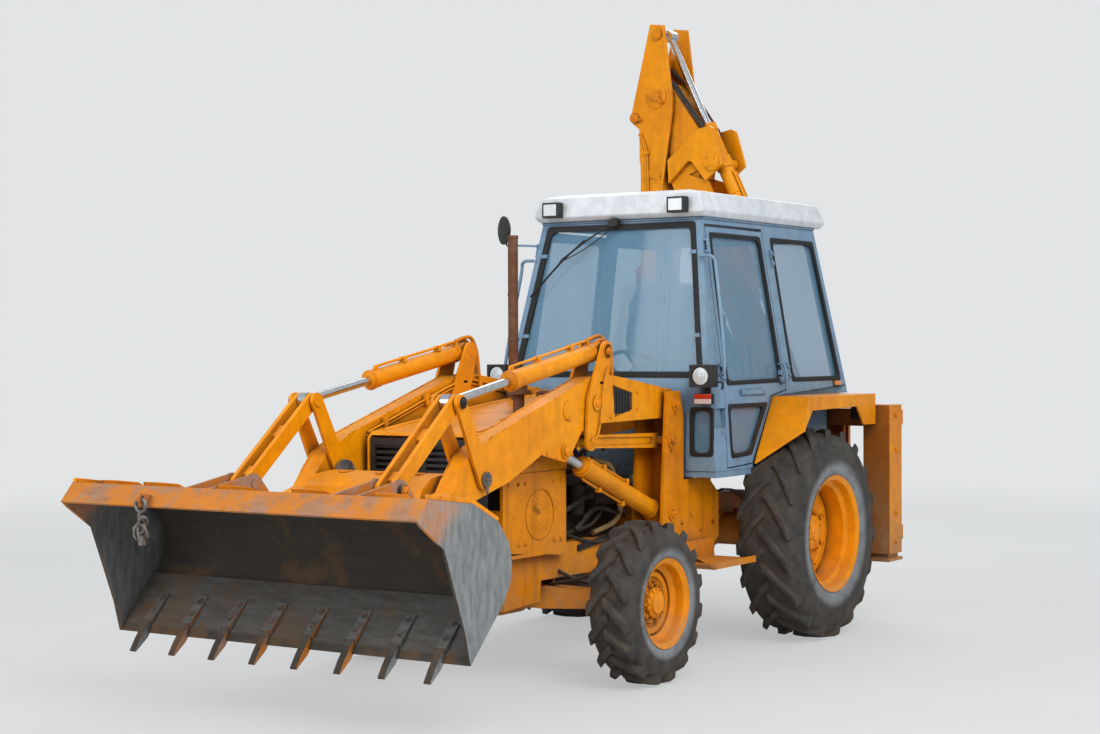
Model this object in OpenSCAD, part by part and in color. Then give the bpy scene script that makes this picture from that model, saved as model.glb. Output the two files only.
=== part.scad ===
// Backhoe loader with a centre-mount, side-shifting backhoe.
// Units are millimetres. X runs forward, Y to the machine's left, Z up, and the
// ground is at Z = 0. Places along X are counted from the rear axle.

/* [Place] */
// Rear axle along X, seen from the middle of the machine's length
rear_axle_x = -1425; // [-1500:5:-1350]

/* [Wheels] */
// Distance between the axles
wheelbase = 2171; // [2100:1:2250]
// Outer radius of a rear tyre over its lugs
rear_tyre_r = 688; // [680:1:700]
// Width of a rear tyre
rear_tyre_w = 420; // [380:2:430]
// Radius where the rear tyre sits on its rim
rear_bead_r = 362; // [350:1:375]
// Half of the rear track
rear_track_half = 935; // [925:1:945]
// Lugs round one side of a rear tyre
rear_lugs = 18; // [14:1:22]
// Outer radius of a front tyre over its lugs
front_tyre_r = 465; // [455:1:475]
// Width of a front tyre
front_tyre_w = 300; // [280:2:310]
// Radius where the front tyre sits on its rim
front_bead_r = 236; // [228:1:245]
// Half of the front track
front_track_half = 965; // [955:1:975]
// Lugs round one side of a front tyre
front_lugs = 16; // [12:1:20]
// Height of a lug over the tread
lug_h = 32; // [20:1:40]
// Kingpin's distance from the middle of the front axle
kingpin_y = 745; // [735:1:755]

/* [Frame] */
// Height of the lower face of the main rails
rail_z = 560; // [540:5:600]
// Height of a main rail
rail_h = 200; // [180:5:220]
// Inner face of a main rail, from the middle
rail_y = 250; // [240:2:260]
// Wall of rails, towers and nose plates
plate_t = 20; // [16:1:24]
// Middle plane of a loader arm, from the middle of the machine
arm_y = 490; // [488:1:492]
// Width of a loader arm
arm_w = 120; // [110:2:124]
// Gap between a loader arm and the plates that straddle it
fork_gap = 6; // [5:0.5:8]
// Distance between the tower plates and the arm's middle plane
tower_half = 90; // [88:1:94]

/* [Loader] */
// Loader arm's pivot on the tower: along X and up
pin_a = [1184, 1563];
// Levelling link's pivot on the tower
pin_b = [1236, 1337];
// Lift ram's pivot on the tower
pin_c = [1230, 889];
// Levelling lever's pivot on the arm
pin_d = [2070, 1590];
// Lift ram's rod pin under the arm
pin_e = [2372, 1322];
// Bucket's pivot on the arm
pin_f = [3700, 900];
// Swing lever's pivot on the arm
pin_g = [3198, 1208];
// Tilt ram's pivot at the top of the levelling lever
pin_i = [1945, 1893];
// Joint of the tilt ram, swing lever and tipping link
pin_j = [3417, 1626];
// Tipping link's pin on the bucket
pin_k = [3940, 1195];
// Radius of the loader's main pins
pin_r = 28; // [24:1:32]
// Radius of a tilt ram's barrel
tilt_barrel_r = 52; // [46:1:54]
// Length of a tilt ram's barrel from its pin
tilt_barrel_len = 910; // [880:5:930]
// Radius of a lift ram's barrel
lift_barrel_r = 56; // [50:1:58]
// Length of a lift ram's barrel from its pin
lift_barrel_len = 930; // [900:5:960]
// Half of the loader bucket's width
bucket_half = 1170; // [1150:5:1180]
// Wall of the loader bucket
bucket_t = 16; // [12:1:20]
// Teeth on the loader bucket's edge
bucket_teeth = 8; // [6:1:10]

/* [Cab] */
// Height of the roof's upper face
roof_top = 2925; // [2900:5:2950]
// Height where the cab walls meet the roof
roof_z = 2745; // [2730:5:2760]
// Height of the waist line
waist_z = 1600; // [1590:5:1620]
// Height of the cab floor's lower face
floor_z = 1100; // [1080:5:1120]
// Half of the cab's width at the roof
cab_top_half = 600; // [590:2:610]
// Half of the cab's width at the waist
cab_waist_half = 765; // [755:2:775]
// Half of the cab's width at the floor
cab_floor_half = 822; // [810:2:830]
// Thickness of the cab's walls
wall_t = 40; // [34:1:44]
// Thickness of the window glass
glass_t = 8; // [6:1:10]
// Gap round a door
door_gap = 8; // [6:1:10]

/* [Backhoe] */
// Slew axis behind the rear axle
slew_x = -1360; // [-1380:5:-1350]
// Slew axis to the left of the machine's middle
slew_y = 450; // [440:5:455]
// Turn of the parked boom from straight back, towards the right
slew_deg = 85; // [84:0.5:88]
// Boom foot pin: out from the slew axis and up
boom_foot = [270, 750];
// Boom ram's pin on the kingpost
boom_ram_base = [160, 1190];
// Boom ram's rod pin in the boom
boom_ram_eye = [610, 2300];
// Dipper's pivot at the boom's tip
boom_tip = [1414, 3842];
// Dipper ram's trunnion in the boom's ears
trunnion = [906, 3306];
// Pin at the dipper's tail
dipper_tail = [1396, 4314];
// Bucket ram's pin on the dipper
bucket_ram_base = [1612, 3688];
// Rocker's pivot on the dipper
rocker_pin = [1490, 2700];
// Rocker's outer pin
rocker_tip = [1620, 2500];
// Digging bucket's hinge on the dipper
hinge_pin = [1500, 2400];
// Bucket link's pin on the digging bucket
link_pin = [1610, 2210];
// Width of the dipper and of the boom's ears
hoe_w = 340; // [330:2:344]
// Thickness of the dipper's and boom's side plates
hoe_t = 18; // [14:1:20]
// Width of the boom's lower limb
limb_w = 250; // [240:2:256]
// Width of the boom's nose
nose_w = 250; // [240:2:256]
// Width of the digging bucket
dig_w = 600; // [560:10:620]
// Radius of the backhoe's main pins
hoe_pin_r = 30; // [26:1:34]

/* [Stabilisers] */
// Outer face of a stabiliser's tube from the middle
column_outer_y = 1170; // [1160:5:1172]
// Width of a stabiliser's tube across the machine
column_w = 195; // [185:5:200]
// Length of a stabiliser's tube along the machine
column_l = 210; // [200:5:215]
// Rear face of the stabiliser tubes
column_rear_x = -1010; // [-1015:1:-1005]
// Top of a stabiliser's tube
column_top = 1510; // [1490:5:1530]
// Bottom of a stabiliser's tube
column_bottom = 480; // [470:5:490]

/* [Hidden] */
$fn = 48;

orange = [0.93, 0.52, 0.05];
blue_grey = [0.55, 0.62, 0.70];
steel = [0.78, 0.79, 0.80];
black = [0.12, 0.12, 0.12];

pin_fit = 0.5;
side_gap = 2;
fork_t = 20;
// Faces of the plates that straddle an arm: [near the middle, away from it]
fork_in = [arm_y - arm_w/2 - fork_gap - fork_t, arm_y - arm_w/2 - fork_gap];
fork_out = [arm_y + arm_w/2 + fork_gap, arm_y + arm_w/2 + fork_gap + fork_t];
tower_in = [arm_y - tower_half - plate_t, arm_y - tower_half];
tower_out = [arm_y + tower_half, arm_y + tower_half + plate_t];
pin_h = pin_d + pin_b - pin_a;
front_axle_z = front_tyre_r;
rear_axle_z = rear_tyre_r;

// General tools for side profiles, which are drawn as [along, up]

module machine() {
    translate([rear_axle_x, 0, 0]) children();
}

module both_sides() {
    children();
    mirror([0, 1, 0]) children();
}

// Extrudes a side profile from y0 to y1
module slab(y0, y1) {
    translate([0, y1, 0]) rotate([90, 0, 0]) linear_extrude(y1 - y0) children();
}

// Extrudes a front profile, drawn as [across, up], from x0 to x1
module wall(x0, x1) {
    translate([x0, 0, 0]) rotate([90, 0, 90]) linear_extrude(x1 - x0) children();
}

module dot(p, r) {
    translate(p) circle(r);
}

module y_pin(p, y0, y1, r) {
    translate([p.x, y1, p.y]) rotate([90, 0, 0]) cylinder(r = r, h = y1 - y0);
}

module box(x, y, z) {
    translate([x[0], y[0], z[0]]) cube([x[1] - x[0], y[1] - y[0], z[1] - z[0]]);
}

function unit(v) = v / norm(v);
function turn_left(v) = [-v.y, v.x];
function aim(a, b) = atan2(b.y - a.y, b.x - a.x);
function along(a, b, d) = a + unit(b - a) * d;
function arc(c, r, from, to, n = 8) =
    [for (i = [0 : n]) c + r * [cos(from + (to - from) * i / n), sin(from + (to - from) * i / n)]];

// A bar with round ends in the side profile
module bar2d(a, b, ra, rb) {
    n = turn_left(unit(b - a));
    dot(a, ra);
    dot(b, rb);
    polygon([a + n * ra, b + n * rb, b - n * rb, a - n * ra]);
}

// A round bar from a to b in the side plane y
module rod(a, b, y, r) {
    translate([a.x, y, a.y]) rotate([0, 90 - aim(a, b), 0]) cylinder(r = r, h = norm(b - a));
}

// A ram's barrel: eye at a, gland towards b, and the ports with their pipe
module ram_barrel(a, b, y, len, r, eye_r, eye_w, bore_r, rod_r) {
    gland = along(a, b, len);
    difference() {
        union() {
            slab(y - eye_w/2, y + eye_w/2) bar2d(a, along(a, b, eye_r + 18), eye_r, eye_r * 0.8);
            rod(along(a, b, eye_r + 6), gland, y, r);
            rod(along(a, b, len - 60), gland, y, r + 4);
            rod(along(a, b, eye_r + 6), along(a, b, eye_r + 36), y, r + 5);
        }
        y_pin(a, y - eye_w, y + eye_w, bore_r + pin_fit);
        rod(along(a, b, eye_r + 60), along(a, b, len + 10), y, rod_r + pin_fit);
    }
}

// A ram's rod: eye at b and the rod back into the barrel
module ram_rod(a, b, y, from, rod_r, eye_r, eye_w, bore_r) {
    difference() {
        union() {
            rod(along(a, b, from), along(a, b, norm(b - a) - eye_r * 0.6), y, rod_r);
            y_pin(b, y - eye_w/2, y + eye_w/2, eye_r);
        }
        y_pin(b, y - eye_w, y + eye_w, bore_r + pin_fit);
    }
}

// Frame and towers

module chassis_frame() {
    color(orange) machine() {
        both_sides() {
            difference() {
                union() {
                    tower_plates();
                    main_rail();
                    nose_plates();
                }
                for (p = [pin_a, pin_b, pin_c]) y_pin(p, tower_in[0] - 5, tower_out[1] + 5, pin_r);
            }
            for (p = [pin_a, pin_b, pin_c]) tower_pin(p);
        }
        cross_members();
    }
}

tower_top_x = [1120, 1283];
tower_profile = [
    [1340, 620], [1345, 855], [tower_top_x[1], pin_a.y + 80], [tower_top_x[0], pin_a.y + 80],
    [1078, 1500], [1078, floor_z - 12], [760, floor_z - 12], [620, 980], [620, 700], [760, 600], [1300, 600]
];

module tower_plates() {
    for (f = [tower_in, tower_out]) slab(f[0], f[1]) {
        polygon(tower_profile);
    }
    box([1078, 1106], [tower_in[0], tower_out[1]], [700, 1500]);
    box([760, 1300], [rail_y, tower_out[1]], [600, 620]);
    for (x = [640, 900]) box([x, x + plate_t], [rail_y + 60, tower_out[0] + 2], [620, 980]);
}

module tower_pin(p) {
    y_pin(p, tower_in[0] - 12, tower_out[1] + 14, pin_r);
    y_pin(p, tower_out[1], tower_out[1] + 10, pin_r + 16);
    y_pin(p, tower_in[0] - 10, tower_in[0], pin_r + 12);
}

module main_rail() {
    top = rail_z + rail_h;
    arch = rear_axle_z + 125;
    rail_end = column_rear_x + column_l - 59.7;
    slab(rail_y, rail_y + 80) polygon([
        [rail_end, rail_z], [-270, rail_z], [-170, arch], [170, arch], [270, rail_z], [2770, rail_z],
        [2770, top], [360, top], [250, arch + 120], [-250, arch + 120], [-360, top], [rail_end, top]
    ]);
}

nose_y = 395;
nose_profile = [
    [2120, 700], [2775, 760], [2775, 1180], [2700, 1200], [2120, 1200]
];
boss_c = [2400, 954];

module nose_plates() {
    difference() {
        slab(nose_y - plate_t, nose_y) polygon(nose_profile);
        y_pin(boss_c, nose_y - 6, nose_y + 5, 150);
    }
    y_pin(boss_c, nose_y - 8, nose_y - 2, 140);
    // Shelf from the rail out to the nose plate
    box([2120, 2770], [rail_y + 60, nose_y], [rail_z + rail_h - 40, rail_z + rail_h - 20]);
    box([2120, 2140], [rail_y + 60, nose_y], [rail_z + rail_h - 40, 1000]);
    box([2755, 2775], [rail_y + 60, nose_y], [rail_z + rail_h - 40, 1000]);
    slab(rail_y - 20, rail_y + 80) polygon([[wheelbase + 119, rail_z + 10], [wheelbase + 129, 440], [2670, 420], [2700, rail_z + 10]]);
}

module cross_members() {
    for (m = [[-600, 170], [600, 170], [1700, 60], [2700, 170]]) {
        box([m[0], m[0] + 70], [-rail_y - 10, rail_y + 10], [rail_z + 5, rail_z + m[1]]);
    }
    for (s = [-1, 1]) {
        box([wheelbase + 129, 2670], [s * 135 - 110 - (s < 0 ? 20 : 0), s * 135 + 110 + (s > 0 ? 20 : 0)], [440, 470]);
    }
    // Oscillation pin lugs over the front axle
    for (x = [wheelbase - 140, wheelbase + 110]) {
        box([x, x + 30], [-rail_y - 10, rail_y + 10], [front_axle_z + 40, rail_z + rail_h - 30]);
    }
    translate([wheelbase - 150, 0, front_axle_z + 75]) rotate([0, 90, 0]) cylinder(r = 30, h = 300);
    // Tower tie across the machine
    box([1110, 1180], [-tower_in[0] - 5, tower_in[0] + 5], [rail_z + rail_h - 140, rail_z + rail_h - 80]);
}

module engine_block() {
    color(black) machine() {
        // Mounted on the two rails
        box([1480, 2350], [-190, 190], [745, 1230]);
        box([1500, 1980], [-150, 150], [640, 750]);
        box([1560, 1640], [-rail_y - 40, rail_y + 40], [rail_z + rail_h, rail_z + rail_h + 50]);
        box([2200, 2280], [-rail_y - 40, rail_y + 40], [rail_z + rail_h, rail_z + rail_h + 50]);
        translate([2350, 0, 950]) rotate([0, 90, 0]) cylinder(r = 90, h = 80);
        translate([2430, 0, 950]) rotate([0, 90, 0]) cylinder(r = 250, h = 40);
        // Bell housing and gearbox behind the engine
        translate([1200, 0, 870]) rotate([0, 90, 0]) cylinder(r = 190, h = 281);
        translate([1300, 300, 1010]) rotate([0, 90, 0]) cylinder(r = 60, h = 420);
        box([1400, 1480], [150, 330], [960, 1040]);
    }
}

// Axles, knuckles and wheels

module front_axle() {
    color(orange) machine() difference() {
        union() {
            wall(wheelbase - 70, wheelbase + 70) polygon([
                [-kingpin_y + 30, front_axle_z - 50], [-300, front_axle_z - 75], [300, front_axle_z - 75],
                [kingpin_y - 30, front_axle_z - 50], [kingpin_y - 30, front_axle_z + 50],
                [160, front_axle_z + 55], [-160, front_axle_z + 55], [-kingpin_y + 30, front_axle_z + 50]
            ]);
            translate([wheelbase - 95, 0, front_axle_z]) rotate([0, 90, 0]) cylinder(r = 135, h = 190);
            translate([wheelbase - 106, 0, front_axle_z + 75]) rotate([0, 90, 0]) cylinder(r = 50, h = 212);
            for (s = [-1, 1]) translate([wheelbase, s * kingpin_y, front_axle_z - 60]) cylinder(r = 60, h = 120);
        }
        translate([wheelbase - 160, 0, front_axle_z + 75]) rotate([0, 90, 0]) cylinder(r = 30 + pin_fit, h = 320);
        for (s = [-1, 1])
            translate([wheelbase, s * kingpin_y, front_axle_z - 70]) cylinder(r = 22 + pin_fit, h = 140);
    }
}

// A steering knuckle: a fork round the axle's end, the kingpin and the stub
module knuckle(s) {
    color(orange) machine() translate([wheelbase, s * kingpin_y, front_axle_z]) {
        cylinder(r = 22, h = 210, center = true);
        for (z = [-100, 64]) translate([0, 0, z]) {
            cylinder(r = 56, h = 36);
            translate([-56, s > 0 ? 0 : -110, 0]) cube([112, 110, 36]);
        }
        translate([-56, s > 0 ? 66 : -110, -100]) cube([112, 44, 200]);
        translate([0, s * 66, 0]) rotate([-s * 90, 0, 0]) cylinder(r = 50, h = front_track_half + 5.7 - kingpin_y - 66);
        translate([-150, s > 0 ? 70 : -100, 66]) cube([100, 30, 30]);
    }
}

module knuckle_left() { knuckle(1); }
module knuckle_right() { knuckle(-1); }

// A traction tyre: a turned carcass with two rows of slanted lugs
module tyre(r, w, bead, lugs, lug_w, toe) {
    tread = r - lug_h;
    side = r - bead;
    difference() {
        union() {
            rotate([90, 0, 0]) rotate_extrude($fn = 64) polygon(concat(
                [[bead, -w/2 + 36], [bead + 0.18 * side, -w/2 + 8], [bead + 0.42 * side, -w/2],
                 [tread - 0.22 * side, -w/2 + 3], [tread - 0.05 * side, -w/2 + 26], [tread, -w/2 + 60]],
                [[tread, w/2 - 60], [tread - 0.05 * side, w/2 - 26], [tread - 0.22 * side, w/2 - 3],
                 [bead + 0.42 * side, w/2], [bead + 0.18 * side, w/2 - 8], [bead, w/2 - 36]]
            ));
            intersection() {
                rotate([90, 0, 0]) cylinder(r = r, h = w, center = true, $fn = 64);
                for (i = [0 : lugs - 1], s = [-1, 1]) {
                    rotate([0, (i + s * 0.25) * 360 / lugs, 0]) translate([0, 0, tread - 46])
                        linear_extrude(60 + lug_h) polygon([
                            [-toe, s * -8], [-toe + lug_w, s * -8],
                            [toe * 0.7 + lug_w * 1.1, s * (w/2 - 10)], [toe * 0.7, s * (w/2 - 6)]
                        ]);
                }
            }
        }
        rotate([90, 0, 0]) cylinder(r = bead, h = w + 20, center = true);
    }
}

// A rim with its flanges, well and dished disc; the outer side is +Y
module rim(r, bead, w, disc_y, hub_r, bolts) {
    lip = w/2 - 35.5 + 28 * 22 / (0.18 * (r - bead));
    well = bead - 34;
    dish = well - hub_r;
    rotate([90, 0, 0]) rotate_extrude($fn = 64) polygon([
        // [radius, across], where the outer side is negative
        [bead, -w/2 + 76], [bead, -w/2 + 35.6], [bead + 22, -lip], [bead + 22, -lip - 12],
        [bead - 10, -w/2 + 30], [bead - 16, -w/2 + 80], [well - 12, -w/2 + 100], [well - 12, -disc_y - 10],
        [hub_r + 0.7 * dish, -disc_y - 24], [hub_r + 0.45 * dish, -disc_y - 24],
        [hub_r + 0.3 * dish, -disc_y - 6], [0, -disc_y - 6], [0, -disc_y + 14],
        [hub_r + 0.4 * dish, -disc_y + 14], [hub_r + 0.75 * dish, -disc_y - 4], [well, -disc_y + 8],
        [well - 12, w/2 - 100], [bead - 14, w/2 - 70], [bead - 10, w/2 - 30], [bead + 22, lip + 12],
        [bead + 22, lip], [bead, w/2 - 35.6], [bead, w/2 - 76], [well, w/2 - 106], [well, -w/2 + 106]
    ]);
    // Hub and wheel nuts
    translate([0, disc_y + 5, 0]) rotate([-90, 0, 0]) cylinder(r = hub_r * 0.55, h = 60);
    for (i = [0 : bolts - 1]) rotate([0, i * 360 / bolts, 0])
        translate([hub_r, disc_y + 5, 0]) rotate([-90, 0, 0]) cylinder(r = 14, h = 26, $fn = 6);
}

module front_tyre(s) {
    color(black) machine() translate([wheelbase, s * front_track_half, front_axle_z])
        mirror([0, s < 0 ? 1 : 0, 0]) tyre(front_tyre_r, front_tyre_w, front_bead_r, front_lugs, 50, 40);
}

module rear_tyre(s) {
    color(black) machine() translate([0, s * rear_track_half, rear_axle_z])
        mirror([0, s < 0 ? 1 : 0, 0]) tyre(rear_tyre_r, rear_tyre_w, rear_bead_r, rear_lugs, 62, 70);
}

module front_rim(s) {
    color(orange) machine() translate([wheelbase, s * front_track_half, front_axle_z])
        mirror([0, s < 0 ? 1 : 0, 0]) rim(front_tyre_r, front_bead_r - 0.4, front_tyre_w, 20, 110, 10);
}

module rear_rim(s) {
    color(orange) machine() translate([0, s * rear_track_half, rear_axle_z])
        mirror([0, s < 0 ? 1 : 0, 0]) rim(rear_tyre_r, rear_bead_r - 0.4, rear_tyre_w, -20, 160, 8);
}

module front_tyre_left() { front_tyre(1); }
module front_tyre_right() { front_tyre(-1); }
module rear_tyre_left() { rear_tyre(1); }
module rear_tyre_right() { rear_tyre(-1); }
module front_rim_left() { front_rim(1); }
module front_rim_right() { front_rim(-1); }
module rear_rim_left() { rear_rim(1); }
module rear_rim_right() { rear_rim(-1); }

module rear_axle() {
    color(orange) machine() {
        translate([0, 0, rear_axle_z]) {
            rotate([90, 0, 0]) cylinder(r = 200, h = 300, center = true);
            for (s = [-1, 1]) {
                translate([0, s * 140, 0]) rotate([-s * 90, 0, 0]) cylinder(r1 = 190, r2 = 110, h = 110, $fn = 48);
                translate([0, s * 240, 0]) rotate([-s * 90, 0, 0]) cylinder(r = 110, h = 400);
                translate([0, s * 600, 0]) rotate([-s * 90, 0, 0]) cylinder(r = 170, h = rear_track_half - 600 - 34.5);
            }
        }
        // Saddles that carry the rails
        for (s = [-1, 1]) box([-90, 90], [s > 0 ? rail_y : -rail_y - 80, s > 0 ? rail_y + 80 : -rail_y],
            [rear_axle_z + 60, rear_axle_z + 125]);
    }
}

// Bonnet and grille

bonnet_half = 390;
bonnet_t = 14;
bonnet_profile = [[1304, 1200], [1304, 1610], [1700, 1585], [2500, 1500], [2960, 1440], [3000, 1400], [3000, 1180], [2790, 1180], [2790, 1200]];
function bonnet_z(x) = lookup(x, [for (i = [1 : 4]) bonnet_profile[i]]);

module bonnet() {
    color(orange) machine() difference() {
        slab(-bonnet_half, bonnet_half) polygon(bonnet_profile);
        slab(-bonnet_half + bonnet_t, bonnet_half - bonnet_t) polygon([
            [1200, 1100], [1200, 1590], [1700, 1569], [2500, 1484], [2960, 1424], [3050, 1400], [3050, 1100]
        ]);
        // Open engine bay on both sides
        slab(-bonnet_half - 5, bonnet_half + 5) polygon([[1200, 1100], [1200, 1420], [2080, 1350], [2120, 1100]]);
    }
}

module grille() {
    color(black) machine() {
        h = bonnet_half - bonnet_t - 3;
        // Frame
        difference() {
            box([2950, 2990], [-h, h], [790, 1405]);
            box([2940, 3000], [-h + 30, h - 30], [830, 1365]);
        }
        // Slats
        for (z = [840 : 34 : 1350]) box([2960, 2980], [-h + 20, h - 20], [z, z + 16]);
        box([2955, 2985], [-15, 15], [800, 1390]);
        // Radiator core behind the slats
        box([2860, 2925], [-h + 20, h - 20], [790, 1380]);
        for (s = [-1, 1]) box([2775.3, 2952], [s > 0 ? 300 : -360, s > 0 ? 360 : -300], [790, 830]);
    }
}

// Cab

// Side and front outlines of the cab, drawn in by d from the outer skin
function cab_side(d) = [
    [1052 - d, floor_z + d], [1045 - d, waist_z + 50], [833 - d, roof_z],
    [-782 + d, roof_z], [-985 + d, waist_z - 30], [-900 + d, floor_z + d]
];
function cab_front(d) = [
    [-cab_floor_half + d, floor_z + d], [-cab_waist_half + d, waist_z + 50], [-cab_top_half + d, roof_z],
    [cab_top_half - d, roof_z], [cab_waist_half - d, waist_z + 50], [cab_floor_half - d, floor_z + d]
];

module cab_solid(d) {
    intersection() {
        slab(-1000, 1000) polygon(cab_side(d));
        wall(-1200, 1200) polygon(cab_front(d));
    }
}

module cab_skin(inner, outer) {
    difference() {
        cab_solid(outer);
        cab_solid(inner);
    }
}

well_half = rear_track_half - rear_tyre_w/2 - 35;
door_profile = [
    [818, 2700], [850, 1650], [905, 1150], [562, 1165], [222, 1585], [-24, 1625], [24, 2700]
];
door_upper_window = [[762, 2640], [800, 1680], [25, 1690], [72, 2640]];
door_lower_window = [[812, 1545], [832, 1220], [568, 1232], [290, 1545]];
rear_side_window = [[-92, 2640], [-135, 1690], [-885, 1690], [-735, 2640]];
front_low_window = [
    [-cab_waist_half - 25, 1240], [-cab_waist_half - 25, 1530],
    [-cab_waist_half + 125, 1530], [-cab_waist_half + 125, 1240]
];
windscreen = [
    [-cab_waist_half + 65, 1735], [-cab_top_half + 52, 2705],
    [cab_top_half - 52, 2705], [cab_waist_half - 65, 1735]
];
rear_window = [
    [-cab_waist_half + 75, 1650], [-cab_top_half + 52, 2660],
    [cab_top_half - 52, 2660], [cab_waist_half - 75, 1650]
];
// Side cuts start inside the narrowest part of the side walls
side_cut = cab_top_half - 100;

// Space taken out of the cab for the rear wheels
module wheel_wells() {
    both_sides() slab(well_half, 1200) polygon([[560, floor_z - 20], [560, 1160], [190, 1590], [-1200, 1590], [-1200, floor_z - 20]]);
}

// A door's hinge line just outside the skin, and the places of its two hinges
hinge_foot = [858, cab_waist_half + 16, waist_z + 54];
hinge_head = [829, cab_top_half + 20, roof_z - 25];
hinge_places = [0.1, 0.85];

module on_hinge_line(t) {
    run = hinge_head - hinge_foot;
    translate(hinge_foot + run * t) rotate([atan2(-run.y, run.z), atan2(run.x, run.z), 0]) children();
}

// Pin and two knuckles on the front post
module hinge_pin_set() {
    for (t = hinge_places) on_hinge_line(t) {
        cylinder(r = 8, h = 94, center = true);
        for (z = [-47, 29]) translate([0, 0, z]) {
            cylinder(r = 14, h = 18);
            translate([0, -26, 0]) cube([26, 26, 18]);
        }
    }
}

// Leaf and barrel on the door
module hinge_leaf_set() {
    for (t = hinge_places) on_hinge_line(t) difference() {
        translate([0, 0, -28.6]) linear_extrude(57.2) {
            circle(14);
            polygon([[-44, -19], [-20, -19], [-20, -13], [0, -13], [0, 0], [-14, 0], [-24, -10], [-44, -10]]);
        }
        cylinder(r = 8.4, h = 80, center = true);
    }
}

// Upright frame of the cab above and below the waist
tub_rear_x = -846;

module cab_frame() {
    color(blue_grey) machine() both_sides() hinge_pin_set();
    color(blue_grey) machine() difference() {
        cab_skin(wall_t, 0);
        wheel_wells();
        box([-1300, 1300], [-1000, 1000], [floor_z - 50, floor_z + wall_t + 0.5]);
        both_sides() {
            slab(side_cut, 1000) polygon(door_profile);
            slab(side_cut, 1000) polygon(rear_side_window);
            wall(700, 1200) polygon(front_low_window);
        }
        wall(600, 1200) polygon(windscreen);
        wall(-1200, -600) polygon(rear_window);
        // Openings behind the tower and over the rear frame
        box([900, 1200], [-600, 600], [floor_z, 1500]);
        box([-1200, tub_rear_x], [-1000, 1000], [floor_z - 50, 1590]);
        box([-1200, -700], [-well_half + 12, well_half - 12], [floor_z - 50, 1590]);
    }
}

module cab_base() {
    color(blue_grey) machine() {
        // Floor, firewall and rear wall of the tub
        box([tub_rear_x, 1045], [-well_half + 12, well_half - 12], [floor_z, floor_z + wall_t]);
        both_sides() {
            box([580, 1045], [well_half - 20, cab_floor_half - 6], [floor_z, floor_z + wall_t]);
            box([tub_rear_x, 560], [well_half - 42, well_half - 12], [floor_z + wall_t, 1590]);
        }
        box([1006, 1040], [-590, 590], [floor_z + wall_t, 1500]);
        box([tub_rear_x, tub_rear_x + 34], [-well_half + 40, well_half - 40], [floor_z + wall_t, 1590]);
        // Shelf over the rear frame
        box([-975, tub_rear_x + 10], [-well_half + 12, well_half - 12], [1574, 1590]);
        // Rubber feet on the rails
        for (x = [-600, 500]) both_sides() box([x, x + 60], [rail_y + 10, rail_y + 70], [rail_z + rail_h, floor_z]);
    }
}

module cab_roof() {
    color([0.93, 0.93, 0.92]) machine() {
        top = [[-870, roof_z], [-900, roof_z + 40], [-860, roof_top - 20], [-700, roof_top], [780, roof_top],
            [867, roof_top - 25], [890, roof_z + 30], [860, roof_z]];
        across = [[-620, roof_z], [-640, roof_z + 40], [-600, roof_top - 20], [-480, roof_top], [480, roof_top],
            [600, roof_top - 20], [640, roof_z + 40], [620, roof_z]];
        intersection() {
            slab(-700, 700) polygon(top);
            wall(-1000, 1000) polygon(across);
        }
    }
}

module cab_glass() {
    inset = 0.3;
    color([0.45, 0.62, 0.72]) machine() intersection() {
        difference() {
            cab_solid(wall_t/2 - glass_t/2);
            cab_solid(wall_t/2 + glass_t/2);
        }
        union() {
            both_sides() {
                slab(side_cut, 1000) offset(delta = -inset) polygon(rear_side_window);
                wall(900, 1200) offset(delta = -inset) polygon(front_low_window);
            }
            wall(700, 1200) offset(delta = -inset) polygon(windscreen);
            wall(-1200, -700) offset(delta = -inset) polygon(rear_window);
        }
    }
}

door_head = door_profile[0].y - 19;

module door(s) {
    color(blue_grey) machine() mirror([0, s < 0 ? 1 : 0, 0]) {
        difference() {
            intersection() {
                cab_skin(wall_t, 0);
                slab(side_cut, 1000) offset(delta = -door_gap) polygon(door_profile);
            }
            slab(side_cut, 1000) polygon(door_upper_window);
            slab(side_cut, 1000) polygon(door_lower_window);
            slab(side_cut, 1000) polygon([[-200, door_head], [1000, door_head], [1000, roof_z], [-200, roof_z]]);
        }
        hinge_leaf_set();
    }
}

module door_glass(s) {
    color([0.45, 0.62, 0.72]) machine() mirror([0, s < 0 ? 1 : 0, 0]) intersection() {
        difference() {
            cab_solid(wall_t/2 - glass_t/2);
            cab_solid(wall_t/2 + glass_t/2);
        }
        slab(side_cut, 1000) {
            offset(delta = -0.3) polygon(door_upper_window);
            offset(delta = -0.3) polygon(door_lower_window);
        }
    }
}

module door_left() { door(1); }
module door_right() { door(-1); }
module door_glass_left() { door_glass(1); }
module door_glass_right() { door_glass(-1); }

module seat() {
    color(black) machine() {
        box([-120, 200], [-150, 150], [floor_z + wall_t, floor_z + wall_t + 220]);
        box([-230, 260], [-240, 240], [floor_z + wall_t + 220, floor_z + wall_t + 340]);
        slab(-230, 230) polygon([[-330, 1520], [-230, 1490], [-260, 2000], [-350, 2140], [-420, 2130], [-400, 1900]]);
        slab(-200, 200) polygon([[-300, 1360], [-230, 1360], [-240, 1500], [-320, 1500]]);
        both_sides() box([-250, 150], [245, 300], [1700, 1740]);
        both_sides() box([-310, -250], [200, 270], [1640, 1740]);
    }
}

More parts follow.
